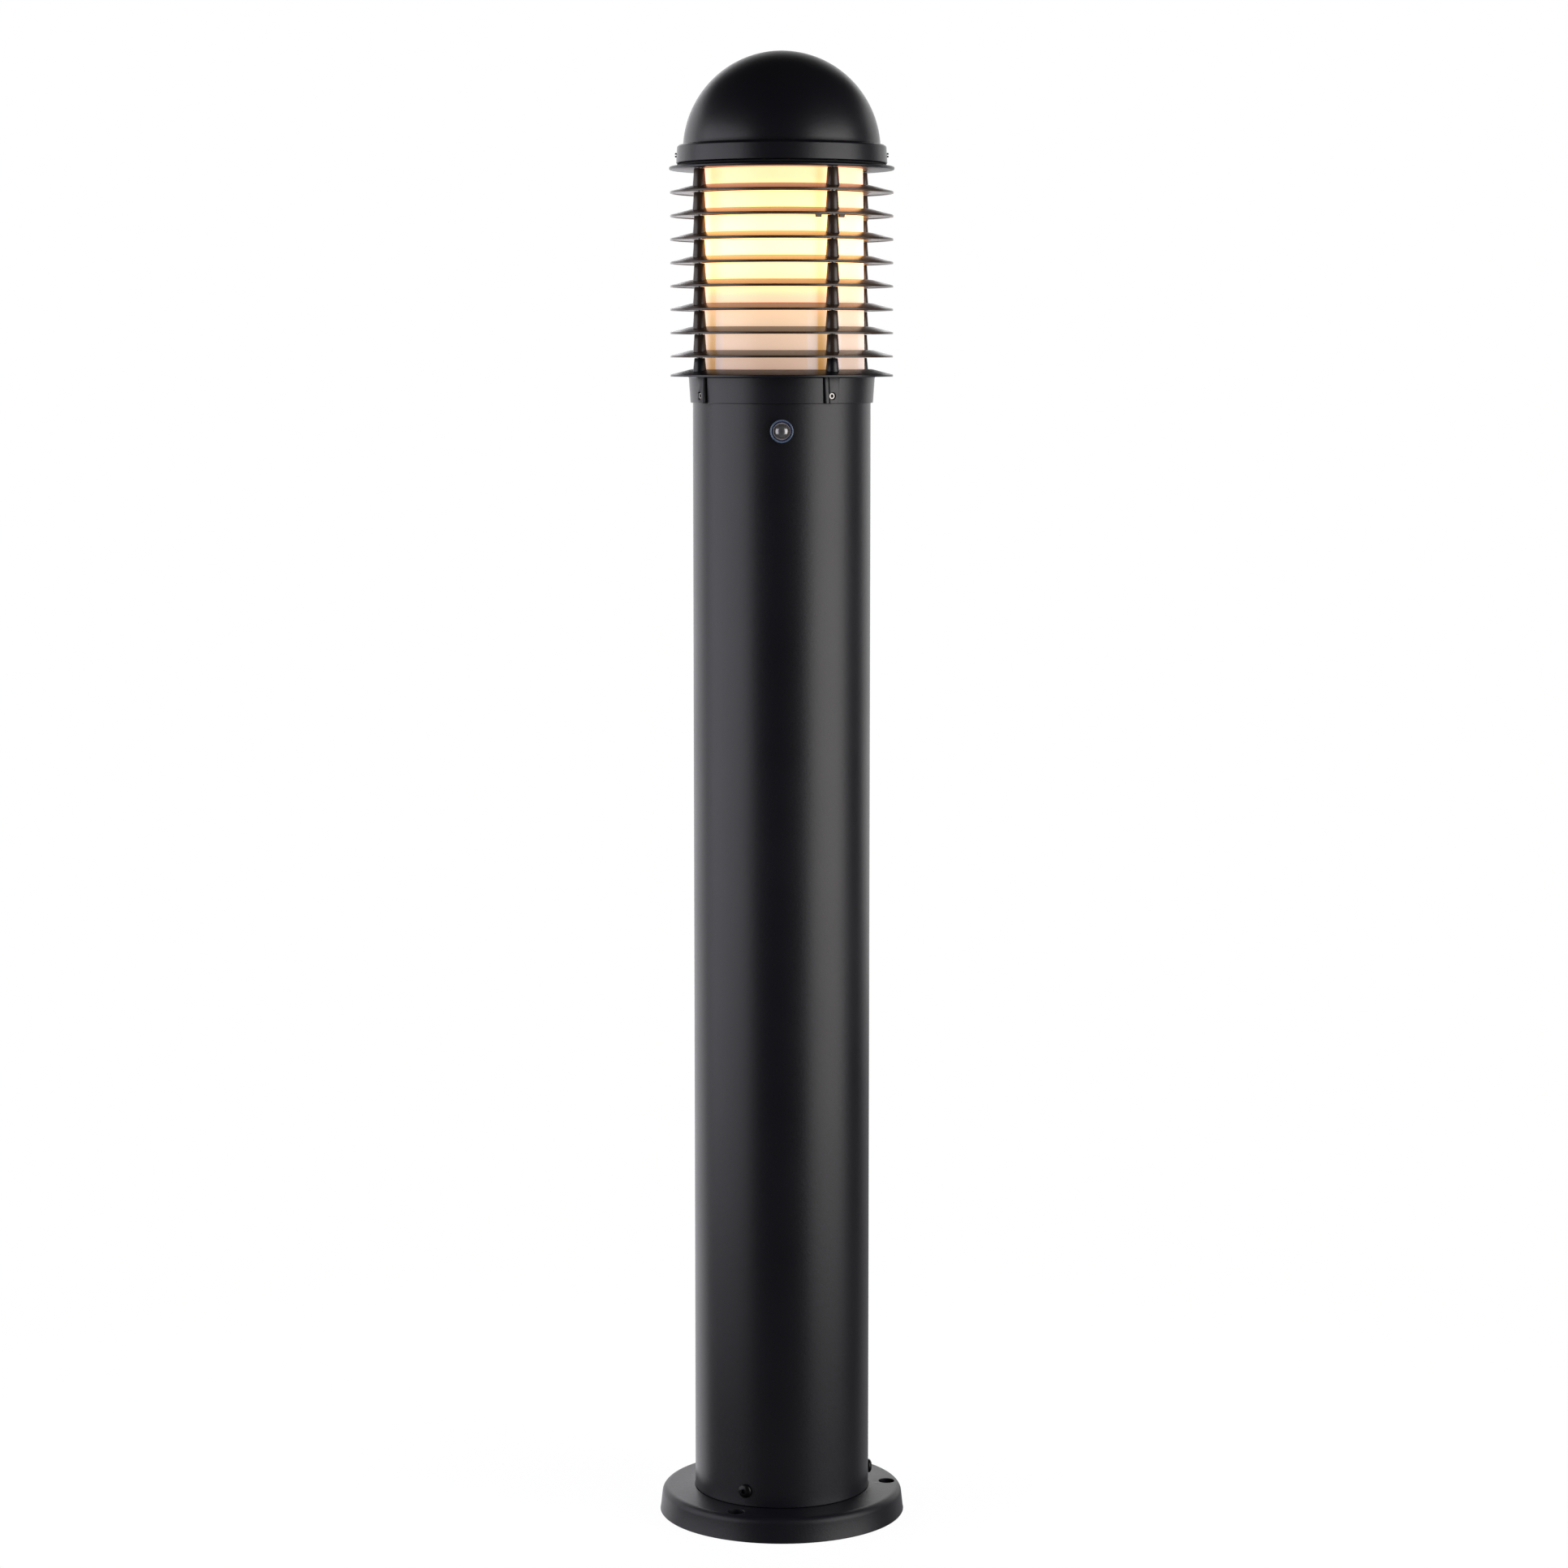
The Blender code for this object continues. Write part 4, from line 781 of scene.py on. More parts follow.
@dataclass(frozen=True)
class LitOpal:
    """Opal diffuser, glowing warm, brightest beside the lamp's globe and dim above its housing."""

    name: str
    foot: float
    top: float
    ribs: tuple[float, ...]
    strength: float = 4.0
    # Half widths in degrees of the painted shade beside each rib and of the painted light bands
    # round it and at the two flanks.
    rib_shade_reach: float = 6.2
    rib_light_reach: float = 13.8
    flank_light_reach: float = 5.0
    flanks: tuple[float, ...] = (radians(72.0), radians(-108.0))

    STOPS = (
        (0.00, (0.094, 0.054, 0.034)),
        (0.07, (0.114, 0.068, 0.040)),
        (0.18, (0.155, 0.098, 0.058)),
        (0.28, (0.190, 0.120, 0.061)),
        (0.38, (0.330, 0.152, 0.077)),
        (0.48, (0.720, 0.330, 0.100)),
        (0.59, (1.000, 0.480, 0.138)),
        (0.71, (1.000, 0.490, 0.134)),
        (0.82, (0.760, 0.330, 0.100)),
        (0.94, (0.500, 0.186, 0.078)),
        (1.00, (0.500, 0.196, 0.078)),
    )

    def material(self) -> Material:
        """Build the finish.

        Returns:
            Its material.
        """
        graph = Graph(self.name)
        x, y, z = graph.axes
        rise = (z - self.foot) * (1.0 / (self.top - self.foot))
        glow = graph.ramp(rise, self.STOPS)
        angle = graph.math("ARCTAN2", x, y * -1.0)
        # Upright noise, painted as faint streaks of shade over the lower half of the tube.
        soft = graph.noise(26.0, 2.0, (1, 1, 0.2))
        dim = 1.0 - graph.step(rise, 0.0, 0.5)
        # Painted shade: a darker, yellower stripe beside each rib. Painted light: paler, whiter
        # bands round that shade and at the two flanks. Both only on the lower half.
        near = self.beside(graph, angle, self.ribs, self.rib_shade_reach)
        pale = self.beside(graph, angle, self.ribs, self.rib_light_reach) - near
        flank_light = self.beside(graph, angle, self.flanks, self.flank_light_reach)
        # Multiply the painted rib shade, then the painted light bands, into the glow.
        warmed = graph.blend(near * dim * 0.72, glow, (1.0, 0.76, 0.0), "MULTIPLY")
        banded_glow = graph.blend((pale + flank_light) * dim, warmed, (0.98, 1.14, 1.55), "MULTIPLY")
        shaded = 1.0 - dim * soft * 0.08
        streaked_glow = graph.node(
            "ShaderNodeVectorMath", {"operation": "SCALE"}, {0: banded_glow, "Scale": shaded}
        )
        return graph.finish(
            Base_Color=(0.74, 0.70, 0.70),
            Roughness=0.36,
            Emission_Color=streaked_glow,
            Emission_Strength=self.strength,
        )

    @staticmethod
    def beside(graph: Graph, angle: Signal, lines: Sequence[float], reach: float) -> Signal:
        """Stripes up the tube, beside some of its upright lines, where light and shade are painted.

        Args:
            graph: The finish's graph.
            angle: Angle round the post.
            lines: Angles of the lines, in radians.
            reach: How far a stripe reaches to either side, in degrees.

        Returns:
            1 in the stripes and 0 elsewhere.
        """
        total = None
        for line in lines:
            apart = graph.math("ABSOLUTE", graph.math("SINE", (angle - line) * 0.5)) * 2.0
            edges = (radians(reach - STRIPE_BLUR), radians(reach + STRIPE_BLUR))
            inside = 1.0 - graph.step(apart, *edges)
            total = inside if total is None else total + inside
        return total


@dataclass(frozen=True)
class LitGlobe:
    """The lamp's opal globe, glowing."""

    name: str

    def material(self) -> Material:
        """Build the finish.

        Returns:
            Its material.
        """
        graph = Graph(self.name)
        cloud = graph.noise(30.0)
        glow = graph.blend(cloud, (1.0, 0.62, 0.30), (1.0, 0.68, 0.36))
        return graph.finish(
            Base_Color=(0.9, 0.86, 0.78), Roughness=0.3, Emission_Color=glow, Emission_Strength=5.0
        )


@dataclass(frozen=True)
class SensorBush:
    """Clear blue-grey bush, with painted shade in the groove round its rim."""

    name: str
    height: float
    radius: float = 7.7 * MM

    # Colours outward from the lens's axis; the dark band from 0.745 to 0.82 is painted shade in the
    # groove.
    STOPS = (
        (0.00, (0.020, 0.021, 0.028)),
        (0.62, (0.060, 0.060, 0.070)),
        (0.66, (0.560, 0.520, 0.500)),
        (0.71, (0.480, 0.450, 0.460)),
        (0.745, (0.030, 0.036, 0.090)),
        (0.82, (0.028, 0.036, 0.085)),
        (0.86, (0.150, 0.200, 0.300)),
        (1.00, (0.110, 0.160, 0.250)),
    )

    def material(self) -> Material:
        """Build the finish.

        Returns:
            Its material.
        """
        graph = Graph(self.name)
        x, _, z = graph.axes
        up = z - self.height
        out = (x * x + up * up) ** 0.5 * (1.0 / self.radius)
        ring = graph.ramp(out, self.STOPS)
        cloud = graph.noise(260.0)
        roughness = cloud * 0.06 + 0.16
        return graph.finish(Base_Color=ring, Roughness=roughness, IOR=1.49, Coat_Weight=0.3)


@dataclass(frozen=True)
class SensorDome:
    """Dark silvered dome of the sensor, with a pale shoulder round it and painted shade at the
    dome's foot.
    """

    name: str
    height: float
    radius: float = 4.95 * MM

    # Colours outward from the lens's axis; the dark band from 0.87 to 0.90 is painted shade where
    # the dome meets the shoulder.
    STOPS = (
        (0.00, (0.200, 0.200, 0.215)),
        (0.55, (0.300, 0.295, 0.305)),
        (0.82, (0.260, 0.250, 0.250)),
        (0.87, (0.060, 0.055, 0.055)),
        (0.90, (0.080, 0.075, 0.075)),
        (0.93, (0.560, 0.520, 0.490)),
        (1.00, (0.600, 0.560, 0.530)),
    )

    def material(self) -> Material:
        """Build the finish.

        Returns:
            Its material.
        """
        graph = Graph(self.name)
        x, _, z = graph.axes
        up = z - self.height
        out = (x * x + up * up) ** 0.5 * (1.0 / self.radius)
        tone = graph.ramp(out, self.STOPS)
        cloud = graph.noise(420.0)
        return graph.finish(Base_Color=tone, Metallic=0.7, Roughness=cloud * 0.06 + 0.20)


class Finishes:
    """Every finish of the light, each made once."""

    @cached_property
    def coat(self) -> Material:
        """The charcoal coat of post, collar, top plate and cap."""
        return PowderCoat("charcoal_coat").material()

    @cached_property
    def fin_coat(self) -> Material:
        """The coat of the louvres: its own slight warmth, plus painted warm light from the diffuser.
        """
        # Base colour partly painted light: the diffuser's warm glow on the louvres.
        return PowderCoat("louvre_coat", (0.040, 0.024, 0.0155), 0.30, 0.00001, 0.1).material()

    @cached_property
    def cast_coat(self) -> Material:
        """The duller coat of the cast base."""
        return PowderCoat("cast_coat", roughness=0.42, grain_depth=0.00010, shine=0.36).material()

    @cached_property
    def black_steel(self) -> Material:
        """Blackened screws."""
        return TurnedSteel("black_steel", (0.014, 0.0135, 0.014), 0.30, 0.7).material()

    @cached_property
    def stainless(self) -> Material:
        """Bright set screws."""
        return TurnedSteel("stainless", (0.40, 0.385, 0.36), 0.34).material()

    @cached_property
    def zinc(self) -> Material:
        """Plated sheet and fasteners inside the head."""
        return ZincPlate("zinc_plate").material()

    @cached_property
    def rubber(self) -> Material:
        """Gaskets and grommets."""
        return Rubber("seal_rubber").material()

    @cached_property
    def enamel(self) -> Material:
        """White enamel of the reflector."""
        return Moulding("white_enamel", (0.84, 0.84, 0.82), 0.3).material()

    @cached_property
    def ceramic(self) -> Material:
        """Glazed ceramic of the lampholder."""
        return Moulding("holder_ceramic", (0.80, 0.79, 0.74), 0.18).material()

    @cached_property
    def nylon(self) -> Material:
        """Natural nylon of the terminal block."""
        return Moulding("terminal_nylon", (0.78, 0.76, 0.69), 0.5, 400.0, 0.00002).material()

    @cached_property
    def lamp_plastic(self) -> Material:
        """White plastic of the lamp's housing."""
        return Moulding("lamp_plastic", (0.80, 0.80, 0.78), 0.42).material()

    @cached_property
    def brass(self) -> Material:
        """Spring brass of the centre contact."""
        return TurnedSteel("contact_brass", (0.62, 0.42, 0.16), 0.3).material()

    @cached_property
    def epoxy(self) -> Material:
        """Black potting compound."""
        return Moulding("potting_epoxy", (0.015, 0.015, 0.016), 0.4).material()


# ---- what the sub-assemblies share ----
def hex_key(flats: float, top: float, depth: float) -> Object:
    """The cutter for a six-sided socket round the Z axis.

    Args:
        flats: Width across its flats.
        top: Height of the screw's end.
        depth: Depth of the socket.

    Returns:
        The cutter.
    """
    corner = flats / 2 / cos(pi / 6)
    return rod("key", Vector((0, 0, top - depth)), Vector((0, 0, top + depth)), corner, 6)


def cut_cross(obj: Object, cross: tuple[float, float, float], top: float) -> None:
    """Cut a cross-shaped socket into a screw that stands on the Z axis.

    Args:
        obj: The screw.
        cross: Width, length and depth of the two slots.
        top: Height of the screw's end.
    """
    width, length, depth = cross
    for turn in (0, pi / 2):
        blade = slab("blade", (width, length, 2 * depth))
        at = Matrix.Translation((0, 0, top))
        combine(obj, place(blade, at @ Matrix.Rotation(turn, 4, "Z")), "DIFFERENCE")


def tie_bolts() -> list[NodeBox]:
    """The boxes of the long bolts, in their order round the head."""
    return [NodeBox.of(f"tie_bolt_{number}") for number in range(1, BOLT_COUNT + 1)]


# ---- base and post ----
@dataclass
class Post:
    """Base flange, post tube and the screws through the post's foot."""

    finishes: Finishes
    anchor_angles: tuple[float, ...] = (-25.0, 95.0, 215.0)
    anchor_reach: float = 73.3 * MM
    anchor_radius: float = 5.5 * MM
    boss_wall: float = 3.5 * MM
    countersink: float = 0.3 * MM
    flange_height: float = 17 * MM
    web: float = 6 * MM
    rim: float = 5 * MM
    shoulder: float = 5 * MM
    draft: float = 1.5 * MM
    spigot_fillet: Station = (0.4 * MM, 0.5 * MM)
    lip_width: float = 1.5 * MM
    lip_edge: Station = (0.3 * MM, 0.25 * MM)
    lip_foot: float = 0.1 * MM
    foot_edge: Station = (0.4 * MM, 0.5 * MM)
    foot_swell: Station = (0.2 * MM, 0.9 * MM)
    hollow_slope: float = 0.8 * MM
    hollow_round: Station = (2 * MM, 1 * MM)
    wall: float = 3 * MM
    ease: float = 0.4 * MM
    levels: int = 12
    spigot_wall: float = 4.7 * MM
    sensor_hole: float = 5.9 * MM
    screw_names: tuple[str, ...] = ("post_screw_1", "post_screw_2", "post_screw_3")
    screw_radius: float = 2.5 * MM
    screw_hole_half: float = 12 * MM
    head_radius: float = 4.75 * MM
    head_height: float = 2.75 * MM
    head_rim: float = 0.4 * MM
    head_edge: float = 0.2 * MM
    key: float = 3 * MM
    key_depth: float = 1.7 * MM

    def build(self) -> None:
        """Build every piece below the collar."""
        self.base()
        self.tube()
        for name in self.screw_names:
            self.screw(name)

    def screw_rod(self, name: str) -> Object:
        """The cutter for one screw's hole.

        Args:
            name: The screw's node.

        Returns:
            The cutter, in place.
        """
        box = NodeBox.of(name)
        height = box.middle.z
        start = around(box.reach - self.screw_hole_half, box.angle, height)
        end = around(box.reach + self.screw_hole_half, box.angle, height)
        return rod(f"{name}_hole", start, end, self.screw_radius + GAP)

    def base(self) -> None:
        """The cast flange, with its lip, rounded shoulder, bosses and anchor holes."""
        box = NodeBox.of("base_flange")
        post = NodeBox.of("post_tube").radius
        top = self.flange_height
        under = top - self.web
        lip = post + GAP
        shoulder = (box.radius - self.draft - self.shoulder, top - self.shoulder)
        spigot = post - self.wall - GAP
        inside = box.radius - self.rim
        stations = [
            (spigot, box.high.z),
            (spigot, top + self.spigot_fillet[1]),
            (spigot + self.spigot_fillet[0], top),
            (lip, top),
            (lip, top + self.lip_foot),
            (lip + self.lip_edge[0], top + self.lip_edge[1]),
            (lip + self.lip_width, top),
            *arc(shoulder, (self.shoulder, self.shoulder), 90, 4, 9),
            (box.radius - self.foot_swell[0], self.foot_swell[1]),
            (box.radius, self.foot_edge[1]),
            (box.radius - self.foot_edge[0], 0),
            (inside, 0),
            (inside - self.hollow_slope, under - self.hollow_round[1]),
            (inside - self.hollow_round[0], under),
            (spigot - self.spigot_wall, under),
            (spigot - self.spigot_wall, box.high.z),
        ]
        obj = turned("base_casting", stations)
        for angle in self.anchor_angles:
            at = around(self.anchor_reach, radians(angle))
            rise = Vector((0, 0, top - self.web / 2))
            boss = rod("boss", at, at + rise, self.anchor_radius + self.boss_wall)
            combine(obj, boss, "UNION")
            combine(obj, self.anchor_cutter(at), "DIFFERENCE")
        for name in self.screw_names:
            combine(obj, self.screw_rod(name), "DIFFERENCE")
        settle(obj, self.finishes.cast_coat, Body.ROOT, "base_flange")

    def anchor_cutter(self, at: Vector) -> Object:
        """A rod that opens into a small countersink at the flange's face.

        Args:
            at: Where the hole's axis meets the ground.

        Returns:
            The cutter, in place.
        """
        radius = self.anchor_radius
        top = self.flange_height
        stations = [
            (0, -PAST),
            (radius, -PAST),
            (radius, top - self.countersink),
            (radius + self.countersink, top),
            (radius + self.countersink + PAST, top + PAST),
            (0, top + PAST),
        ]
        return place(turned("anchor_cutter", stations, Sides.SMALL), Matrix.Translation(at))

    def tube(self) -> None:
        """The post, with eased ends, screw holes and the sensor's hole."""
        box = NodeBox.of("post_tube")
        outer = box.radius
        inner = outer - self.wall
        ease = self.ease
        rise = (box.height - 2 * ease) / self.levels
        stations = [
            (inner, box.low.z),
            (outer - ease, box.low.z),
            *[(outer, box.low.z + ease + rise * level) for level in range(self.levels + 1)],
            (outer - ease, box.high.z),
            (inner, box.high.z),
        ]
        obj = turned("post", stations)
        for name in self.screw_names:
            combine(obj, self.screw_rod(name), "DIFFERENCE")
        height = NodeBox.of("sensor_bezel").middle.z
        start = around(inner - PAST, 0, height)
        end = around(outer + PAST, 0, height)
        combine(obj, rod("sensor_hole", start, end, self.sensor_hole), "DIFFERENCE")
        settle(obj, self.finishes.coat, Body.ROOT, "post_tube")

    def screw(self, name: str) -> None:
        """A button-head screw with a six-sided socket.

        Args:
            name: The screw's node.
        """
        box = NodeBox.of(name)
        seat = NodeBox.of("post_tube").radius
        radius = self.head_radius
        tip = -(self.wall + self.spigot_wall)
        bulge = (radius, self.head_height - self.head_rim)
        dome = arc((0, GAP + self.head_rim), bulge, 0, 62, 8)
        top = dome[-1][1]
        stations = [
            (0, tip),
            (self.screw_radius, tip),
            (self.screw_radius, GAP),
            (radius - self.head_edge, GAP),
            *dome,
            (0, top),
        ]
        obj = turned(name + "_head", stations, Sides.MEDIUM)
        combine(obj, hex_key(self.key, top, self.key_depth), "DIFFERENCE")
        place(obj, facing(seat, box.angle, box.middle.z))
        settle(obj, self.finishes.black_steel, Body.ROOT, name)


# ---- collar ----
@dataclass
class Collar:
    """The cast collar with its fin, short ribs and pads, and its set screws."""

    finishes: Finishes
    louvres: "LouvreStack"
    fin_rise: float = 17.5 * MM
    foot_wall: float = 1.3 * MM
    top_wall: float = 2.7 * MM
    edge: float = 0.3 * MM
    fillet: float = 0.7 * MM
    lap: float = 10.3 * MM
    ledge: float = 4.7 * MM
    ledge_bore: float = 43 * MM
    recess: float = 57.5 * MM
    pad_rise: float = 0.4 * MM
    pad_top: float = 11.0 * MM
    pad_foot: float = 8.8 * MM
    pad_stand: float = 1.3 * MM
    pad_sink: float = 0.9 * MM
    pad_step: float = 0.7 * MM
    pad_round: float = 0.35 * MM
    face_share: float = 0.74
    face_shift: float = 1.3 * MM
    groove: float = 1.2 * MM
    groove_wall: float = 0.7 * MM
    groove_shift: float = 0.1 * MM
    groove_run: float = 2 * MM
    screw_names: tuple[str, ...] = tuple(f"collar_screw_{number}" for number in range(1, 5))
    screw_radius: float = 2.4 * MM
    screw_reach: float = 3.6 * MM
    screw_edge: float = 0.45 * MM
    key: float = 2.3 * MM
    key_depth: float = 1.8 * MM

    def build(self) -> None:
        """Build the collar and its screws."""
        self.casting()
        for name in self.screw_names:
            self.screw(name)

    def casting(self) -> None:
        """The collar itself."""
        box = NodeBox.of("collar")
        bore = NodeBox.of("post_tube").radius + GAP
        fin = box.low.z + self.fin_rise
        ledge = box.low.z + self.lap
        top = bore + self.top_wall - self.edge
        foot = bore + self.foot_wall
        stations = [
            (self.recess, ledge + self.ledge),
            (self.recess, fin + self.louvres.fin_height),
            *self.louvres.fin_top(fin)[1:],
            (top + self.fillet, fin),
            (top, fin - self.fillet),
            (foot, box.low.z + self.edge),
            (foot - self.edge, box.low.z),
            (bore, box.low.z),
            (bore, ledge),
            (self.ledge_bore, ledge),
            (self.ledge_bore, ledge + self.ledge),
        ]
        obj = turned("collar_casting", stations)
        for name in self.screw_names:
            groove, *pads = self.pads(box, bore, fin, NodeBox.of(name).angle)
            combine(obj, groove, "DIFFERENCE")
            for pad in pads:
                combine(obj, pad, "UNION")
        above = NodeBox.of("louvre_ring_1").low.z
        for bolt in tie_bolts():
            combine(obj, self.louvres.rib(bolt, fin, above), "UNION")
        for name in self.screw_names:
            screw = NodeBox.of(name)
            start = around(bore - PAST, screw.angle, screw.middle.z)
            end = around(self.face(bore) + PAST, screw.angle, screw.middle.z)
            combine(obj, rod("set_screw_hole", start, end, self.screw_radius + GAP), "DIFFERENCE")
        settle(obj, self.finishes.coat, Body.ROOT, "collar")

    def face(self, bore: float) -> float:
        """How far the pads' faces are from the axis, for this inner radius."""
        return bore + self.top_wall + self.pad_stand

    def pads(self, box: NodeBox, bore: float, fin: float, angle: float) -> list[Object]:
        """The pieces of one pad, under a rib.

        Args:
            box: The collar's box.
            bore: The collar's inner radius.
            fin: Height of its fin's underside.
            angle: Angle of the pad round the post.

        Returns:
            The cutter for the groove round it, its broad plate and its narrower face.
        """
        height = fin - box.low.z + self.pad_rise
        middle = box.low.z + height / 2
        past = self.groove_run
        face = self.face(bore)
        plate = face - self.pad_step
        depth = face - bore - self.pad_sink
        wide = self.pad_top + 2 * self.groove
        made = []
        for width, near, far, shift, tall in (
            (wide, bore + self.groove_wall, face + past, self.groove_shift, height + 2 * past),
            (self.pad_top, plate - depth, plate, 0.0, height),
            (self.pad_top * self.face_share, face - depth, face, self.face_shift, height),
        ):
            taper = self.pad_foot / self.pad_top
            pad = slab("pad", (width, far - near, tall), taper, self.pad_round)
            sideways = Matrix.Translation((shift, 0, 0))
            turn = Matrix.Rotation(angle, 4, "Z")
            at = Matrix.Translation(around((near + far) / 2, angle, middle))
            made.append(place(pad, at @ turn @ sideways))
        return made

    def screw(self, name: str) -> None:
        """A cup-point set screw, its socket facing out.

        Args:
            name: The screw's node.
        """
        box = NodeBox.of(name)
        top = self.screw_reach
        radius = self.screw_radius
        stations = [
            (0, GAP),
            (radius, GAP),
            (radius, top - self.screw_edge),
            (radius - self.screw_edge, top),
            (0, top),
        ]
        obj = turned(name + "_point", stations, Sides.MEDIUM)
        combine(obj, hex_key(self.key, top, self.key_depth), "DIFFERENCE")
        place(obj, facing(NodeBox.of("post_tube").radius, box.angle, box.middle.z))
        settle(obj, self.finishes.stainless, Body.ROOT, name)


# ---- louvres, top plate, bolts ----
@dataclass
class LouvreStack:
    """The stack of louvre rings, the plate on top and the bolts that clamp them."""

    finishes: Finishes
    count: int = 8
    fin_width: float = 16.5 * MM
    fin_rim: float = 1.4 * MM
    fin_land: float = 2.5 * MM
    fin_slope: float = radians(14.3)
    fin_round: float = 0.25 * MM
    land_before: float = 0.6 * MM
    land_after: Station = (0.4 * MM, 0.12 * MM)
    rim_before: Station = (0.6 * MM, 0.14 * MM)
    lip: float = 1.5 * MM
    recess: float = 0.5 * MM
    recess_edge: float = 0.4 * MM
    inner_lip: float = 1.8 * MM
    rib_foot: float = 4.5 * MM
    rib_top: float = 3.45 * MM
    rib_neck: float = 0.75 * MM
    rib_round: float = 0.9 * MM
    rib_rise: float = 0.7 * MM
    rib_sink: float = 1.1 * MM
    rib_shoulder: Station = (0.15 * MM, 0.4 * MM)
    rib_edge: float = 0.1 * MM
    misfit: tuple[float, ...] = (0.10, -0.16, 0.05, 0.18, -0.10, 0.14, -0.18, 0.08)
    tab_ring: int = 7
    tab_bolts: int = 2
    tab_offset: float = 9 * MM
    tab_inset: float = 2.4 * MM
    tab_width: float = 5.2 * MM
    tab_depth: float = 1.6 * MM
    tab_drop: float = 1.8 * MM
    tab_taper: float = 0.8
    tab_round: float = 0.3 * MM
    opening_gap: float = 0.8 * MM
    lug_size: tuple[float, float] = (2.6 * MM, 12 * MM)
    lug_round: float = 0.4 * MM
    lug_sink: float = 1 * MM
    lug_inset: float = 4.8 * MM
    bolt_radius: float = 2.0 * MM
    bolt_head: float = 3.5 * MM
    bolt_head_height: float = 2.6 * MM
    bolt_dome: float = 1.4 * MM
    bolt_cross: tuple[float, float, float] = (0.9 * MM, 4.2 * MM, 1.2 * MM)

    @property
    def radius(self) -> float:
        """Radius of the fins' rims."""
        return NodeBox.of("louvre_ring_1").radius

    @property
    def inner(self) -> float:
        """Radius of the fins' inner edges."""
        return self.radius - self.fin_width

    @property
    def bolt_bore(self) -> float:
        """Radius of the holes for the bolts."""
        return self.bolt_radius + GAP

    @property
    def fin_height(self) -> float:
        """Height of a fin at its inner land."""
        return self.fin_rim + self.fall(self.fin_width - self.fin_land)

    def fall(self, reach: float) -> float:
        """How far a fin's sloped face falls over this reach."""
        return reach * sin(self.fin_slope) / cos(self.fin_slope)

    def fin_top(self, seat: float) -> list[Station]:
        """The fin's section from its inner land out over the rim to its underside.

        Args:
            seat: Height of the underside.

        Returns:
            Its stations.
        """
        rim = self.radius
        land = self.inner + self.fin_land
        top = seat + self.fin_height
        rounding = (self.fin_round, self.fin_round)
        bend = rim - self.fin_round
        return [
            (self.inner, top),
            (land - self.land_before, top),
            (land + self.land_after[0], top - self.land_after[1]),
            (rim - self.rim_before[0], seat + self.fin_rim + self.rim_before[1]),
            *arc((bend, seat + self.fin_rim - self.fin_round), rounding, 75, 0, 4),
            *arc((bend, seat + self.fin_round), rounding, 0, -80, 4),
        ]

    def rib(self, bolt: NodeBox, seat: float, above: float) -> Object:
        """A tapered rib with a rounded foot, bored for its bolt.

        Args:
            bolt: The bolt that runs in it.
            seat: Height of its fin's underside.
            above: Height of the underside that it carries.

        Returns:
            The rib, in place.
        """
        foot = seat + self.fin_rim + self.rib_sink
        front = self.radius - bolt.reach - self.rib_foot
        swell = seat + self.fin_rim + self.fall(front) + self.rib_rise
        top = above - GAP
        neck = self.rib_foot - self.rib_neck
        rounding = (self.rib_round, self.rib_round)
        stations = [
            (self.bolt_bore, foot),
            (neck, foot),
            (neck, swell - self.rib_sink),
            *arc((self.rib_foot - self.rib_round, swell), rounding, -70, 0, 4),
            (self.rib_top + self.rib_shoulder[0], top - self.rib_shoulder[1]),
            (self.rib_top - self.rib_edge, top),
            (self.bolt_bore, top),
        ]
        obj = turned("rib", stations, Sides.SMALL)
        return place(obj, Matrix.Translation(around(bolt.reach, bolt.angle)))

    def build(self) -> None:
        """Build the rings, the plate and the bolts."""
        first = NodeBox.of("louvre_ring_1")
        pattern = self.ring(first.low.z)
        for number in range(1, self.count + 1):
            name = f"louvre_ring_{number}"
            seat = NodeBox.of(name).low.z
            obj = duplicate(pattern, f"louvre_{number}")
            turn = Matrix.Rotation(radians(self.misfit[number - 1]), 4, "Z")
            place(obj, Matrix.Translation((0, 0, seat - first.low.z)) @ turn)
            if number == self.tab_ring:
                self.add_tabs(obj, seat)
            settle(obj, self.finishes.fin_coat, Body.ROOT, name)
        bpy.data.objects.remove(pattern, do_unlink=True)
        self.plate()
        for number, box in enumerate(tie_bolts(), 1):
            self.bolt(number, box)

    def ring(self, seat: float) -> Object:
        """One louvre ring: the fin, with a shallow recess underneath, and its four ribs.

        Args:
            seat: Height of its underside.

        Returns:
            The ring.
        """
        above = NodeBox.of("louvre_ring_2").low.z
        edge = self.radius - self.lip
        land = self.inner + self.inner_lip
        stations = [
            *self.fin_top(seat),
            (edge, seat),
            (edge - self.recess_edge, seat + self.recess),
            (land + self.recess_edge, seat + self.recess),
            (land, seat),
            (self.inner, seat),
        ]
        obj = turned("louvre_pattern", stations)
        for bolt in tie_bolts():
            start = around(bolt.reach, bolt.angle, seat - PAST)
            end = around(bolt.reach, bolt.angle, seat + self.fin_height + PAST)
            combine(obj, rod("plug", start, end, self.bolt_bore), "DIFFERENCE")
            combine(obj, self.rib(bolt, seat, above), "UNION")
        return obj

    def add_tabs(self, obj: Object, seat: float) -> None:
        """Hang small locating tabs under a fin, on either side of two of its ribs.

        Args:
            obj: The ring.
            seat: Height of its underside.
        """
        size = (self.tab_width, self.tab_depth, 2 * self.tab_drop)
        for bolt in tie_bolts()[: self.tab_bolts]:
            for side in (-1, 1):
                tab = slab("tab", size, self.tab_taper, self.tab_round)
                turn = Matrix.Rotation(bolt.angle, 4, "Z")
                shift = Matrix.Translation((side * self.tab_offset, 0, 0))
                at = Matrix.Translation(around(self.inner + self.tab_inset, bolt.angle, seat))
                place(tab, at @ turn @ shift)
                combine(obj, tab, "UNION")

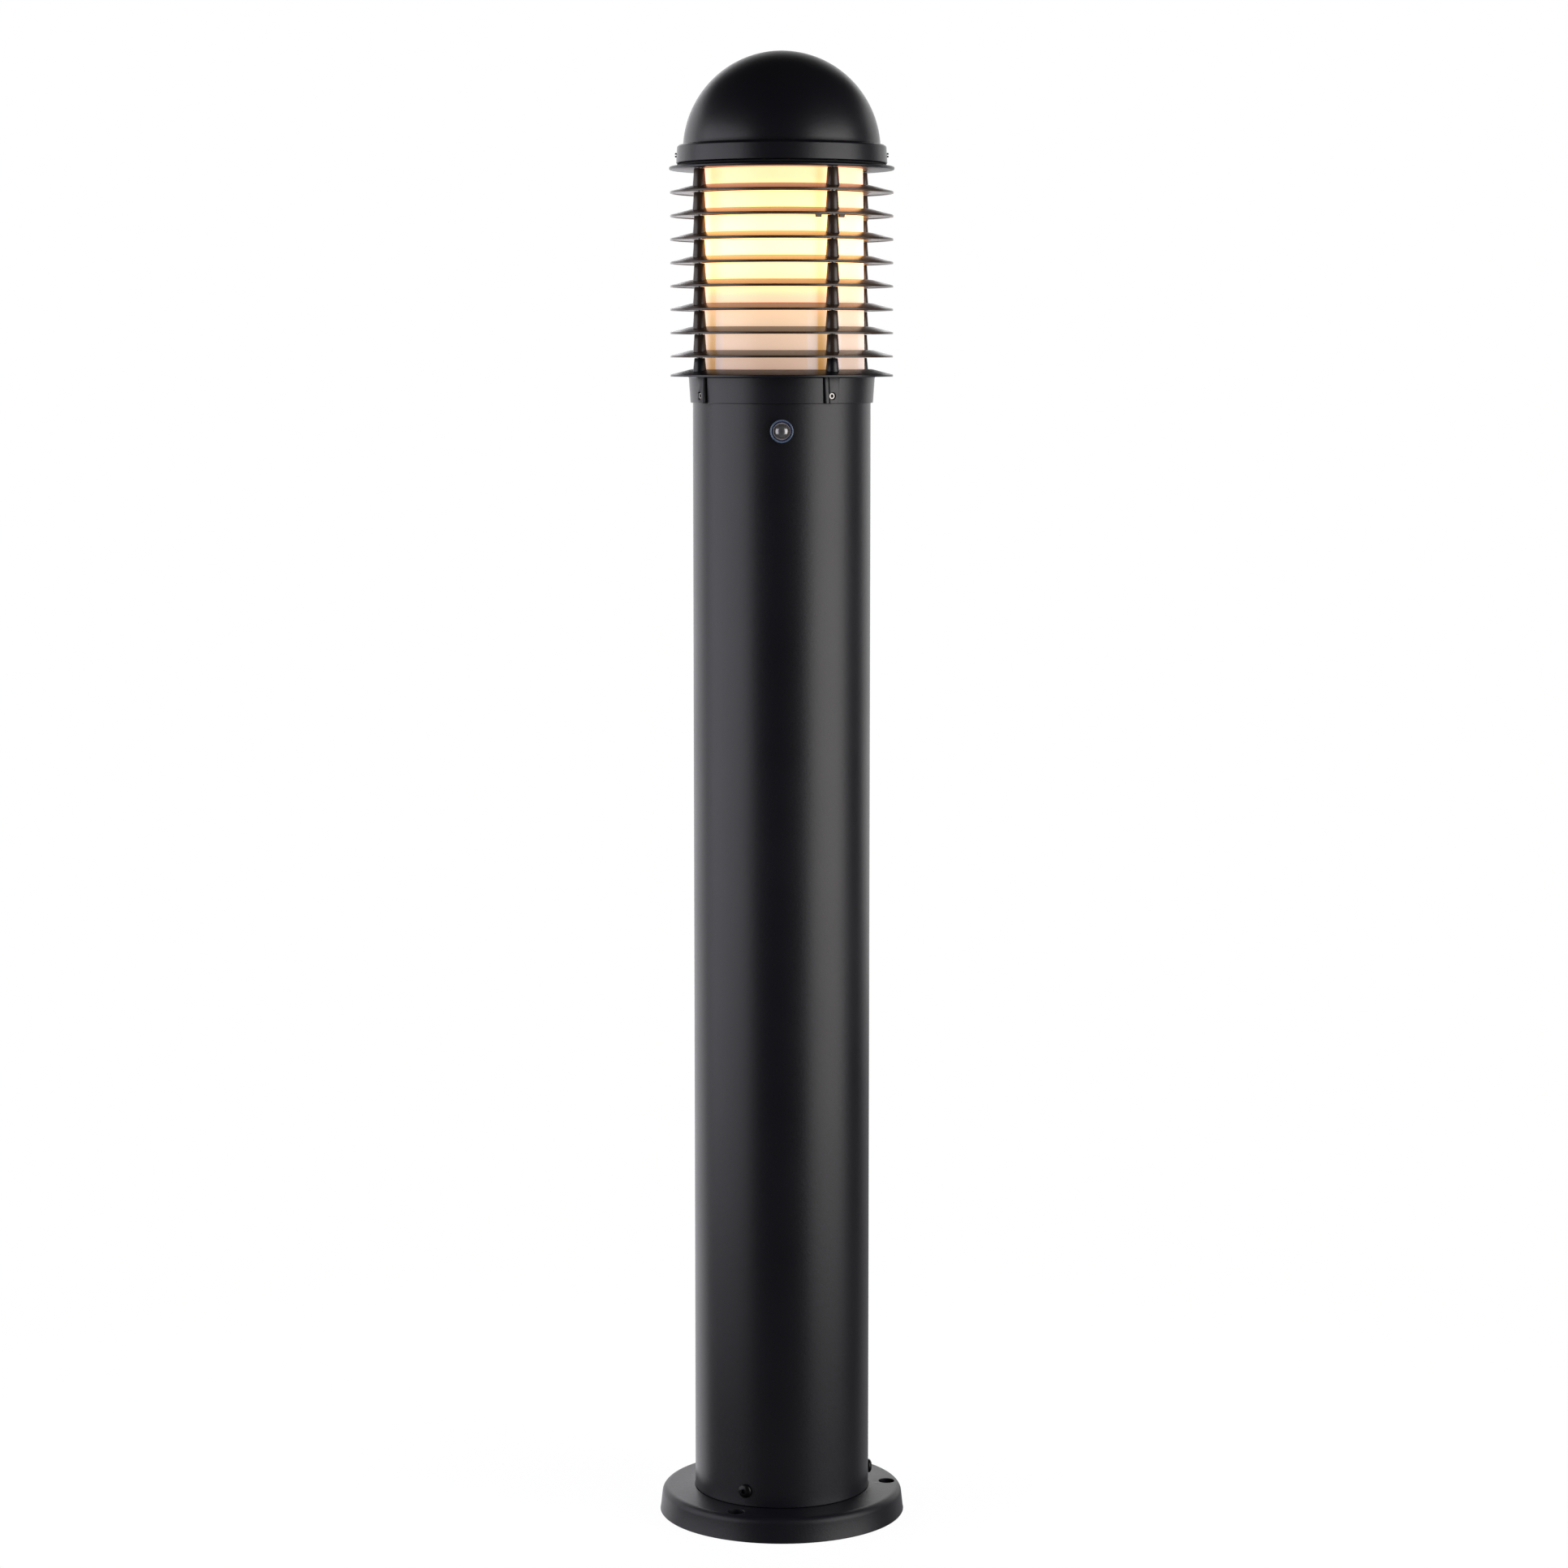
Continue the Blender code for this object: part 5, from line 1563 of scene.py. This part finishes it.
    def plate(self) -> None:
        """The flat plate on top, with a rounded rim and two lugs."""
        box = NodeBox.of("top_plate")
        top = tie_bolts()[0].high.z - self.bolt_head_height - GAP
        opening = NodeBox.of("diffuser").radius + self.opening_gap
        half = (top - box.low.z) / 2
        stations = [
            (opening, top),
            *arc((box.radius - half, top - half), (half, half), 90, -90, 10),
            (opening, box.low.z),
        ]
        obj = turned("head_plate", stations)
        reach = NodeBox.of("cap").radius - self.lug_inset
        height = box.high.z - top + self.lug_sink
        for side in (-1, 1):
            lug = slab("lug", (*self.lug_size, height), round_off=self.lug_round)
            at = Vector((side * reach, 0, top - self.lug_sink + height / 2))
            combine(obj, place(lug, Matrix.Translation(at)), "UNION")
        for bolt in tie_bolts():
            start = around(bolt.reach, bolt.angle, box.low.z - PAST)
            end = around(bolt.reach, bolt.angle, top + PAST)
            combine(obj, rod("bolt_hole", start, end, self.bolt_bore), "DIFFERENCE")
        settle(obj, self.finishes.coat, Body.ROOT, "top_plate")

    def bolt(self, number: int, box: NodeBox) -> None:
        """A long bolt with a domed head and a cross-shaped socket.

        Args:
            number: Its number.
            box: Its box.
        """
        head = self.bolt_head
        dome = self.bolt_dome
        under = box.high.z - self.bolt_head_height
        side = under + self.bolt_head_height - dome
        stations = [
            (0, box.low.z),
            (self.bolt_radius, box.low.z),
            (self.bolt_radius, under),
            (head, under),
            (head, side),
            *arc((head - dome, side), (dome, dome), 20, 90, 4),
            (0, box.high.z),
        ]
        obj = turned(f"stack_bolt_{number}", stations, Sides.SMALL)
        cut_cross(obj, self.bolt_cross, box.high.z)
        place(obj, Matrix.Translation(around(box.reach, box.angle)))
        settle(obj, self.finishes.zinc, Body.ROOT, f"tie_bolt_{number}")


# ---- cap ----
@dataclass
class Cap:
    """The domed cap, its gasket and its two slotted screws."""

    finishes: Finishes
    dome_radius: float = 66.3 * MM
    wall: float = 2.5 * MM
    crease: float = 12.7 * MM
    shoulder: tuple[float, float] = (4.0 * MM, 2.2 * MM)
    draft: float = 0.6 * MM
    edge: float = 0.3 * MM
    crease_low: Station = (0.15 * MM, 0.35 * MM)
    crease_high: Station = (0.45 * MM, 0.05 * MM)
    skirt_edge: Station = (0.4 * MM, 0.5 * MM)
    gasket_width: float = 1.9 * MM
    screw_radius: float = 1.5 * MM
    screw_stand: float = 0.8 * MM
    slot_width: float = 0.8 * MM
    slot_depth: float = 1 * MM

    def build(self) -> None:
        """Build the cap's pieces."""
        self.shell()
        self.gasket()
        self.screw("cap_screw_left", Body.SCREW_LEFT, -pi / 2)
        self.screw("cap_screw_right", Body.SCREW_RIGHT, pi / 2)

    def shell(self) -> None:
        """The spun dome with its stepped skirt."""
        box = NodeBox.of("cap")
        foot = box.low.z
        radius = self.dome_radius
        centre = box.high.z - radius
        crease = foot + self.crease
        wide, tall = self.shoulder
        bend = (box.radius - self.draft - wide, crease - tall)
        outer = arc((0, centre), (radius, radius), 90, degrees(asin((crease - centre) / radius)), 40)
        waist = outer[-1][0]
        inside = radius - self.wall
        ceiling = crease - self.wall
        start = degrees(asin((ceiling - centre) / inside))
        inner = arc((0, centre), (inside, inside), start, 90, 16)
        bore = box.radius - self.wall
        stations = [
            (0, box.high.z),
            *outer[1:],
            (waist + self.crease_low[0], crease - self.crease_low[1]),
            (waist + self.crease_high[0], crease - self.crease_high[1]),
            *arc(bend, self.shoulder, 78, 0, 8),
            (box.radius, foot + self.skirt_edge[1]),
            (box.radius - self.skirt_edge[0], foot),
            (bore + self.edge, foot),
            (bore, foot + self.edge),
            (bore, ceiling),
            *inner[:-1],
            (0, box.high.z - self.wall),
        ]
        obj = turned("cap_shell", stations)
        height = NodeBox.of("cap_screw_right").middle.z
        for angle in (-pi / 2, pi / 2):
            near = around(bore - PAST, angle, height)
            far = around(box.radius + PAST, angle, height)
            combine(obj, rod("cap_screw_hole", near, far, self.screw_radius + GAP), "DIFFERENCE")
        settle(obj, self.finishes.coat, Body.CAP, "cap")

    def gasket(self) -> None:
        """The rubber ring in the shadow gap, with a rounded outer bead."""
        box = NodeBox.of("cap_gasket")
        half = box.height / 2
        inner = box.radius - self.gasket_width
        stations = [
            (inner, box.high.z),
            *arc((box.radius - half, box.middle.z), (half, half), 90, -90, 8),
            (inner, box.low.z),
        ]
        settle(turned("skirt_gasket", stations), self.finishes.rubber, Body.CAP, "cap_gasket")

    def screw(self, node: str, body: Body, angle: float) -> None:
        """A slotted set screw that stands a little out of the skirt.

        Args:
            node: The screw's node.
            body: The body that it rides on.
            angle: Its angle round the cap.
        """
        box = NodeBox.of(node)
        length = box.high.x - box.low.x
        radius = self.screw_radius
        stations = [
            (0, -length),
            (radius, -length),
            (radius, -self.edge),
            (radius - self.edge, 0),
            (0, 0),
        ]
        obj = turned(node + "_point", stations, Sides.SMALL)
        slot = slab("slot", (4 * radius, self.slot_width, 2 * self.slot_depth))
        combine(obj, slot, "DIFFERENCE")
        place(obj, facing(NodeBox.of("cap").radius + self.screw_stand, angle, box.middle.z))
        settle(obj, self.finishes.black_steel, body, node)


# ---- diffuser ----
@dataclass
class Diffuser:
    """The lit tube, the seal under it and the reflector on top."""

    finishes: Finishes
    wall: float = 2.2 * MM
    taper: float = 1.5 * MM
    bead: float = 0.5 * MM
    levels: int = 24
    seal_width: float = 5.6 * MM
    seal_groove: float = 0.3 * MM
    seal_lips: Station = (1.2 * MM, 0.9 * MM)
    dish_sheet: float = 1.2 * MM
    dish_radius: float = 50 * MM
    dish_step: Station = (1.2 * MM, 0.2 * MM)
    dish_curve: tuple[Station, ...] = ((0, 1.0), (12 * MM, 0.92), (34 * MM, 0.4))

    def build(self) -> None:
        """Build the three pieces."""
        self.tube()
        self.seal()
        self.reflector()

    def tube(self) -> None:
        """The opal tube, slightly narrower at the top, with rounded edges."""
        box = NodeBox.of("diffuser")
        foot, top = box.low.z, box.high.z
        radius = box.radius
        span = box.height - 2 * self.bead
        rises = [self.bead + span * level / self.levels for level in range(self.levels + 1)]
        slope = self.taper / box.height
        outer = [(radius - rise * slope, foot + rise) for rise in rises]
        inner = [(reach - self.wall, height) for reach, height in reversed(outer)]
        stations = [
            (radius - self.wall + self.bead, foot),
            (radius - self.bead, foot),
            *outer,
            (radius - self.taper - self.bead, top),
            (radius - self.taper - self.wall + self.bead, top),
            *inner,
        ]
        ribs = tuple(bolt.angle for bolt in tie_bolts())
        dress = LitOpal("lit_opal", foot, top, ribs).material()
        settle(turned("diffuser_tube", stations), dress, Body.DIFFUSER, "diffuser")

    def seal(self) -> None:
        """The flat ring under the tube, with a groove for its edge."""
        box = NodeBox.of("diffuser_seal")
        inner = box.radius - self.seal_width
        sink = self.seal_groove
        groove = box.high.z - sink
        near = inner + self.seal_lips[0]
        far = box.radius - self.seal_lips[1]
        stations = [
            (inner, box.high.z),
            (near, box.high.z),
            (near + sink, groove),
            (far - sink, groove),
            (far, box.high.z),
            (box.radius, box.high.z),
            (box.radius, box.low.z),
            (inner, box.low.z),
        ]
        settle(turned("seat_seal", stations), self.finishes.rubber, Body.ROOT, "diffuser_seal")

    def reflector(self) -> None:
        """The white dished disc, with a pressed step and a rolled edge."""
        box = NodeBox.of("reflector")
        low = box.low.z
        thick = self.dish_sheet
        rise = box.height - thick
        step = self.dish_radius
        run, drop = self.dish_step
        half = thick / 2
        under = [(reach, low + rise * share) for reach, share in self.dish_curve]
        over = [(reach, height + thick) for reach, height in reversed(under)]
        stations = [
            *under,
            (step, low + drop),
            (step + run, low),
            *arc((box.radius - half, low + half), (half, half), -90, 90, 8),
            (step + run, low + thick),
            (step, low + thick + drop),
            *over,
        ]
        obj = turned("reflector_dish", stations)
        settle(obj, self.finishes.enamel, Body.DIFFUSER, "reflector")


# ---- lamp and its holder ----
@dataclass
class Lamp:
    """The lamp: a threaded cap, a ribbed housing and an opal globe."""

    finishes: Finishes
    thread_pitch: float = 3.6 * MM
    thread_depth: float = 0.7 * MM
    thread_steps: int = 6
    thread_rise: float = 4.4 * MM
    thread_end: float = 2 * MM
    cap_sheet: float = 0.3 * MM
    cone_rise: Station = (1.2 * MM, 3.4 * MM)
    cone_inset: float = 1.2 * MM
    tip_share: float = 0.35
    tip_edge: Station = (0.4 * MM, 0.5 * MM)
    neck_share: float = 1.05
    flare_drop: float = 5 * MM
    neck_edge: float = 0.5 * MM
    edge: float = 0.6 * MM
    vent_count: int = 24
    vent_radius: float = 0.8 * MM
    vent_foot: Station = (2.6 * MM, 0.8 * MM)
    vent_top: Station = (2.0 * MM, 6 * MM)

    def build(self) -> None:
        """Build the lamp's pieces."""
        self.screw_cap()
        self.housing()
        self.globe()

    def screw_cap(self) -> None:
        """The rolled thread, the glass insulator's cone and the centre contact."""
        box = NodeBox.of("lamp_cap")
        low = box.low.z
        radius = box.radius
        tip = radius * self.tip_share
        start = low + self.thread_rise
        turns = int((box.high.z - start - self.thread_end) / self.thread_pitch)
        thread = []
        for turn in range(turns):
            for step in range(self.thread_steps):
                part = step / self.thread_steps
                depth = self.thread_depth * (0.5 - 0.5 * cos(2 * pi * part))
                thread.append((radius - depth, start + (turn + part) * self.thread_pitch))
        stations = [
            (0, low),
            (tip - self.tip_edge[0], low),
            (tip, low + self.tip_edge[1]),
            (tip, low + self.cone_rise[0]),
            (radius - self.cone_inset, low + self.cone_rise[1]),
            *thread,
            (radius - self.cap_sheet, start + turns * self.thread_pitch),
            (radius - self.cap_sheet, box.high.z),
            (0, box.high.z),
        ]
        obj = turned("lamp_thread", stations, Sides.MEDIUM)
        settle(obj, self.finishes.zinc, Body.LAMP, "lamp_cap")

    def housing(self) -> None:
        """The driver housing: a flared cup with shallow cooling grooves."""
        box = NodeBox.of("lamp_body")
        low, high = box.low.z, box.high.z
        neck = NodeBox.of("lamp_cap").radius * self.neck_share
        wide = box.radius
        flare = (wide - neck, box.height - self.flare_drop - self.edge)
        stations = [
            (0, low),
            (neck - self.neck_edge, low),
            (neck, low + self.edge),
            *arc((neck, high - self.flare_drop), flare, -84, 0, 14),
            (wide, high - self.edge),
            (wide - self.edge, high),
            (0, high),
        ]
        obj = turned("lamp_housing", stations, Sides.MEDIUM)
        for number in range(self.vent_count):
            angle = 2 * pi * number / self.vent_count
            start = around(neck + self.vent_foot[0], angle, low + self.vent_foot[1])
            end = around(wide + self.vent_top[0], angle, high - self.vent_top[1])
            combine(obj, rod("vent", start, end, self.vent_radius, 8), "DIFFERENCE")
        settle(obj, self.finishes.lamp_plastic, Body.LAMP, "lamp_body")

    def globe(self) -> None:
        """The opal globe, with a short neck that drops into the housing's rim."""
        box = NodeBox.of("lamp_globe")
        radius = box.radius
        centre = box.high.z - radius
        start = degrees(asin((box.low.z - centre) / radius))
        sphere = arc((0, centre), (radius, radius), start, 90, 32)
        stations = [(0, box.low.z), *sphere[:-1], (0, box.high.z)]
        dress = LitGlobe("lit_globe").material()
        settle(turned("globe", stations, Sides.MEDIUM), dress, Body.LAMP, "lamp_globe")


@dataclass
class GearTray:
    """Everything on the collar's ledge: tray, bracket, lampholder, terminal block and leads."""

    finishes: Finishes
    nipple: float = 5 * MM
    nipple_length: float = 7 * MM
    holder_bore: float = 13.9 * MM
    holder_floor: float = 5 * MM
    holder_round: float = 1.2 * MM
    nipple_edge: float = 0.5 * MM
    mouth_edge: float = 0.6 * MM
    waist: tuple[Station, ...] = (
        (0.84, 0),
        (0.88, 0.8 * MM),
        (0.88, 6 * MM),
        (0.95, 8 * MM),
        (1.0, 9 * MM),
    )
    screw_radius: float = 1.5 * MM
    screw_edge: float = 0.3 * MM
    head_height: float = 2 * MM
    head_dome: float = 1 * MM
    cross: tuple[float, float, float] = (0.7 * MM, 3.2 * MM, 0.9 * MM)
    screws: tuple[str, ...] = (
        "tray_screw_1",
        "tray_screw_2",
        "tray_screw_3",
        "earth_screw",
        "bracket_screw_1",
        "bracket_screw_2",
        "terminal_screw_1",
        "terminal_screw_2",
    )

    def build(self) -> None:
        """Build the holder and the screws, and dress what stays as it is."""
        self.holder()
        for node in self.screws:
            self.pan_screw(node)
        for node in ("gear_tray", "holder_bracket", "holder_nut"):
            dress_node(node, self.finishes.zinc)
        dress_node("tray_grommet", self.finishes.rubber)
        dress_node("holder_contact", self.finishes.brass)
        dress_node("terminal_block", self.finishes.nylon)
        self.leads()

    def holder(self) -> None:
        """The glazed holder: a waisted cup with a plain bore and a nipple below."""
        box = NodeBox.of("lampholder")
        low, top = box.low.z, box.high.z
        radius = box.radius
        seat = low + self.nipple_length
        floor = seat + self.holder_floor
        bore = self.holder_bore
        nipple = self.nipple
        rounding = self.holder_round
        stations = [
            (0, low),
            (nipple - self.nipple_edge, low),
            (nipple, low + self.nipple_edge),
            (nipple, seat),
            *[(radius * share, seat + rise) for share, rise in self.waist],
            (radius, top - rounding),
            *arc((radius - rounding, top - rounding), (rounding, rounding), 20, 90, 4),
            (bore + self.mouth_edge, top),
            (bore, top - self.mouth_edge),
            (bore, floor),
            (0, floor),
        ]
        obj = turned("holder_cup", stations, Sides.MEDIUM)
        settle(obj, self.finishes.ceramic, Body.ROOT, "lampholder")

    def pan_screw(self, node: str) -> None:
        """A small pan-head screw with a cross socket.

        Args:
            node: The screw's node.
        """
        box = NodeBox.of(node)
        head = box.radius
        under = box.high.z - self.head_height
        dome = self.head_dome
        stations = [
            (0, box.low.z),
            (self.screw_radius - self.screw_edge, box.low.z),
            (self.screw_radius, box.low.z + self.screw_edge),
            (self.screw_radius, under),
            (head, under),
            (head, under + dome),
            *arc((head - dome, under + dome), (dome, dome), 25, 90, 3),
            (0, box.high.z),
        ]
        obj = turned(node + "_pan", stations, 32)
        cut_cross(obj, self.cross, box.high.z)
        place(obj, Matrix.Translation((box.middle.x, box.middle.y, 0)))
        settle(obj, self.finishes.zinc, Body.ROOT, node)

    def leads(self) -> None:
        """Dress the four leads."""
        colors = {
            "lead_live": (0.16, 0.065, 0.03),
            "lead_neutral": (0.03, 0.10, 0.36),
            "lead_sensor": (0.02, 0.02, 0.02),
        }
        for node, color in colors.items():
            dress_node(node, Moulding(f"{node}_insulation", color, 0.42).material())
        dress_node("lead_earth", EarthInsulation("earth_insulation").material())


# ---- light sensor ----
@dataclass
class LightSensor:
    """The dusk sensor in the front of the post."""

    finishes: Finishes
    shank: float = 5.6 * MM
    front: float = 2.2 * MM
    floor_share: float = 0.3
    lens_radius: float = 4.95 * MM
    dome_radius: float = 4.5 * MM
    dome_share: float = 0.62
    bore: float = 4.2 * MM
    rim_round: float = 0.5 * MM
    collar_round: float = 0.35 * MM
    back_edge: float = 0.2 * MM
    groove_depth: float = 0.8 * MM
    groove_inset: float = 1.25 * MM
    collar_width: float = 0.75 * MM

    def build(self) -> None:
        """Build the bush and lens, and dress the rest."""
        bezel = NodeBox.of("sensor_bezel")
        seal = NodeBox.of("sensor_seal")
        post = NodeBox.of("post_tube").radius
        height = bezel.middle.z
        seat = facing(-seal.low.y + GAP, 0, height)
        self.bush(bezel, seat)
        self.lens(seat)
        self.washer(facing(post, 0, height), -seal.low.y - post)
        dress_node("sensor_body", self.finishes.epoxy)
        dress_node("sensor_nut", self.finishes.zinc)

    def bush(self, box: NodeBox, seat: Matrix) -> None:
        """The clear flanged bush: a rounded flange with a groove round the lens.

        Args:
            box: Its box.
            seat: The place of its flange's back, with +Z outward.
        """
        radius = box.radius
        front = self.front
        floor = front * self.floor_share
        length = (box.high.y - box.low.y) - front
        rim = self.lens_radius + GAP
        rounding = self.rim_round
        crest = self.collar_round
        groove = front - self.groove_depth
        stations = [
            (self.bore, -length),
            (self.shank, -length),
            (self.shank, 0),
            (radius - self.back_edge, 0),
            (radius, self.back_edge),
            *arc((radius - rounding, front - rounding), (rounding, rounding), 0, 150, 8),
            (radius - self.groove_inset, groove),
            (rim + self.collar_width, groove),
            *arc((rim + crest, front - crest), (crest, crest), 20, 180, 6),
            (rim, floor),
            (self.bore, floor),
        ]
        obj = turned("sensor_bush", stations, Sides.MEDIUM)
        dress = SensorBush("sensor_clear_bush", box.middle.z).material()
        settle(place(obj, seat), dress, Body.ROOT, "sensor_bezel")

    def lens(self, seat: Matrix) -> None:
        """The glossy domed lens.

        Args:
            seat: The place of the flange's back, with +Z outward.
        """
        floor = self.front * self.floor_share + GAP
        shoulder = self.front - GAP
        dome = arc((0, shoulder), (self.dome_radius, self.dome_radius * self.dome_share), 0, 90, 14)
        stations = [
            (0, floor),
            (self.lens_radius, floor),
            (self.lens_radius, shoulder),
            *dome[:-1],
            (0, dome[-1][1]),
        ]
        obj = turned("sensor_dome", stations, Sides.MEDIUM)
        dress = SensorDome("sensor_silvered_dome", NodeBox.of("sensor_lens").middle.z).material()
        settle(place(obj, seat), dress, Body.ROOT, "sensor_lens")

    def washer(self, seat: Matrix, top: float) -> None:
        """The rubber washer, rounded at its edge.

        Args:
            seat: The place on the post's face, with +Z outward.
            top: Height of the washer's outer face over the post.
        """
        outer = NodeBox.of("sensor_seal").radius
        inner = self.shank + GAP
        half = (top - GAP) / 2
        stations = [
            (inner, top),
            *arc((outer - half, GAP + half), (half, half), 90, -90, 6),
            (inner, GAP),
        ]
        obj = turned("sensor_washer", stations, Sides.MEDIUM)
        settle(place(obj, seat), self.finishes.rubber, Body.ROOT, "sensor_seal")


# ---- studio ----
@dataclass(frozen=True)
class SoftBox:
    """A square soft light aimed at the post.

    Its angle is round the post from the front toward +X, in degrees, and its glow is the
    brightness of its face.
    """

    name: str
    angle: float
    reach: float
    height: float
    width: float
    tall: float
    glow: float
    tint: Color = (1.0, 1.0, 1.0)
    aim: float = 0.6

    def build(self) -> None:
        """Add the light."""
        data = bpy.data.lights.new(self.name, "AREA")
        data.shape = "RECTANGLE"
        data.size, data.size_y = self.width, self.tall
        data.energy = self.glow * pi * self.width * self.tall
        data.color = self.tint
        lamp = bpy.data.objects.new(self.name, data)
        lamp.location = around(self.reach, radians(self.angle), self.height)
        aim = Vector((0, 0, self.aim)) - lamp.location
        lamp.rotation_euler = aim.to_track_quat("-Z", "Y").to_euler()
        lamp.visible_camera = False
        bpy.context.scene.collection.objects.link(lamp)


@dataclass
class Studio:
    """Pale floor, soft lights, white surroundings and the camera."""

    sensor_width: float = 36.0
    camera_distance: float = 2.62
    camera_height: float = 0.80
    aim_height: float = 0.507
    aim_side: float = 0.0015
    lens: float = 88.7
    floor_radius: float = 0.9
    floor_sides: int = 128
    floor_drop: float = 0.2 * MM
    floor_alpha: float = 0.08
    floor_glow: float = 0.55
    floor_fade: tuple[float, float] = (0.25, 0.855)
    ambient: float = 0.03
    boxes: tuple[SoftBox, ...] = (
        SoftBox("left", -74, 1.5, 0.69, 2.0, 1.62, 1.85, (0.99, 0.972, 1.05)),
        SoftBox("right", 62, 1.5, 0.68, 1.45, 1.6, 3.0, (1.0, 0.972, 0.965)),
        SoftBox("back_left", -149, 2.6, 0.3, 3.0, 3.8, 1.35, (0.995, 0.985, 1.03)),
        SoftBox("back_right", 154, 2.6, 0.92, 2.5, 2.05, 1.1),
        SoftBox("back_low", 154, 2.6, -0.66, 2.5, 1.1, 0.32, (0.995, 0.985, 1.03)),
        SoftBox("back", 180, 2.6, 1.6, 2.0, 2.0, 0.8),
    )

    def build(self) -> None:
        """Set the whole scene."""
        bpy.context.scene.view_settings.view_transform = "Standard"
        self.floor()
        self.surroundings()
        for box in self.boxes:
            box.build()
        self.camera()

    def floor(self) -> None:
        """A plain pale floor, thin enough that the white surroundings show through it."""
        bpy.ops.object.select_all(action="DESELECT")
        below = (0, 0, -self.floor_drop)
        bpy.ops.mesh.primitive_circle_add(
            vertices=self.floor_sides, radius=self.floor_radius, location=below, fill_type="NGON"
        )
        obj = bpy.context.object
        obj.name = "floor"
        graph = Graph("pale_floor")
        x, y, _ = graph.axes
        away = (x * x + y * y) ** 0.5
        fade = 1.0 - graph.step(away, *self.floor_fade)
        dress = graph.finish(
            Base_Color=(0.9, 0.9, 0.9),
            Roughness=0.8,
            Emission_Color=(1.0, 1.0, 1.0),
            Emission_Strength=self.floor_glow,
            Specular_IOR_Level=0.0,
            Alpha=fade * self.floor_alpha,
        )
        obj.data.materials.append(dress)

    def surroundings(self) -> None:
        """White as a backdrop, dim as a source of light."""
        world = bpy.data.worlds.new("surroundings")
        bpy.context.scene.world = world
        world.use_nodes = True
        tree = world.node_tree
        tree.nodes.clear()
        seen = tree.nodes.new("ShaderNodeBackground")
        seen.inputs["Color"].default_value = (1, 1, 1, 1)
        lit = tree.nodes.new("ShaderNodeBackground")
        lit.inputs["Color"].default_value = (1, 1, 1, 1)
        lit.inputs["Strength"].default_value = self.ambient
        path = tree.nodes.new("ShaderNodeLightPath")
        mix = tree.nodes.new("ShaderNodeMixShader")
        out = tree.nodes.new("ShaderNodeOutputWorld")
        tree.links.new(path.outputs["Is Camera Ray"], mix.inputs[0])
        tree.links.new(lit.outputs[0], mix.inputs[1])
        tree.links.new(seen.outputs[0], mix.inputs[2])
        tree.links.new(mix.outputs[0], out.inputs["Surface"])

    def camera(self) -> None:
        """The camera, a little above the middle of the light and looking slightly down."""
        data = bpy.data.cameras.new("camera")
        data.lens = self.lens
        data.sensor_width = self.sensor_width
        camera = bpy.data.objects.new("camera", data)
        camera.location = (self.aim_side, -self.camera_distance, self.camera_height)
        aim = Vector((self.aim_side, 0, self.aim_height)) - camera.location
        camera.rotation_euler = aim.to_track_quat("-Z", "Y").to_euler()
        bpy.context.scene.collection.objects.link(camera)
        bpy.context.scene.camera = camera


def main() -> None:
    """Build the light and its studio."""
    logging.basicConfig(level=logging.INFO, format="%(name)s %(message)s", force=True)
    finishes = Finishes()
    louvres = LouvreStack(finishes)
    Post(finishes).build()
    Collar(finishes, louvres).build()
    louvres.build()
    Cap(finishes).build()
    Diffuser(finishes).build()
    Lamp(finishes).build()
    GearTray(finishes).build()
    LightSensor(finishes).build()
    Studio().build()


if __name__ == "__main__":
    main()
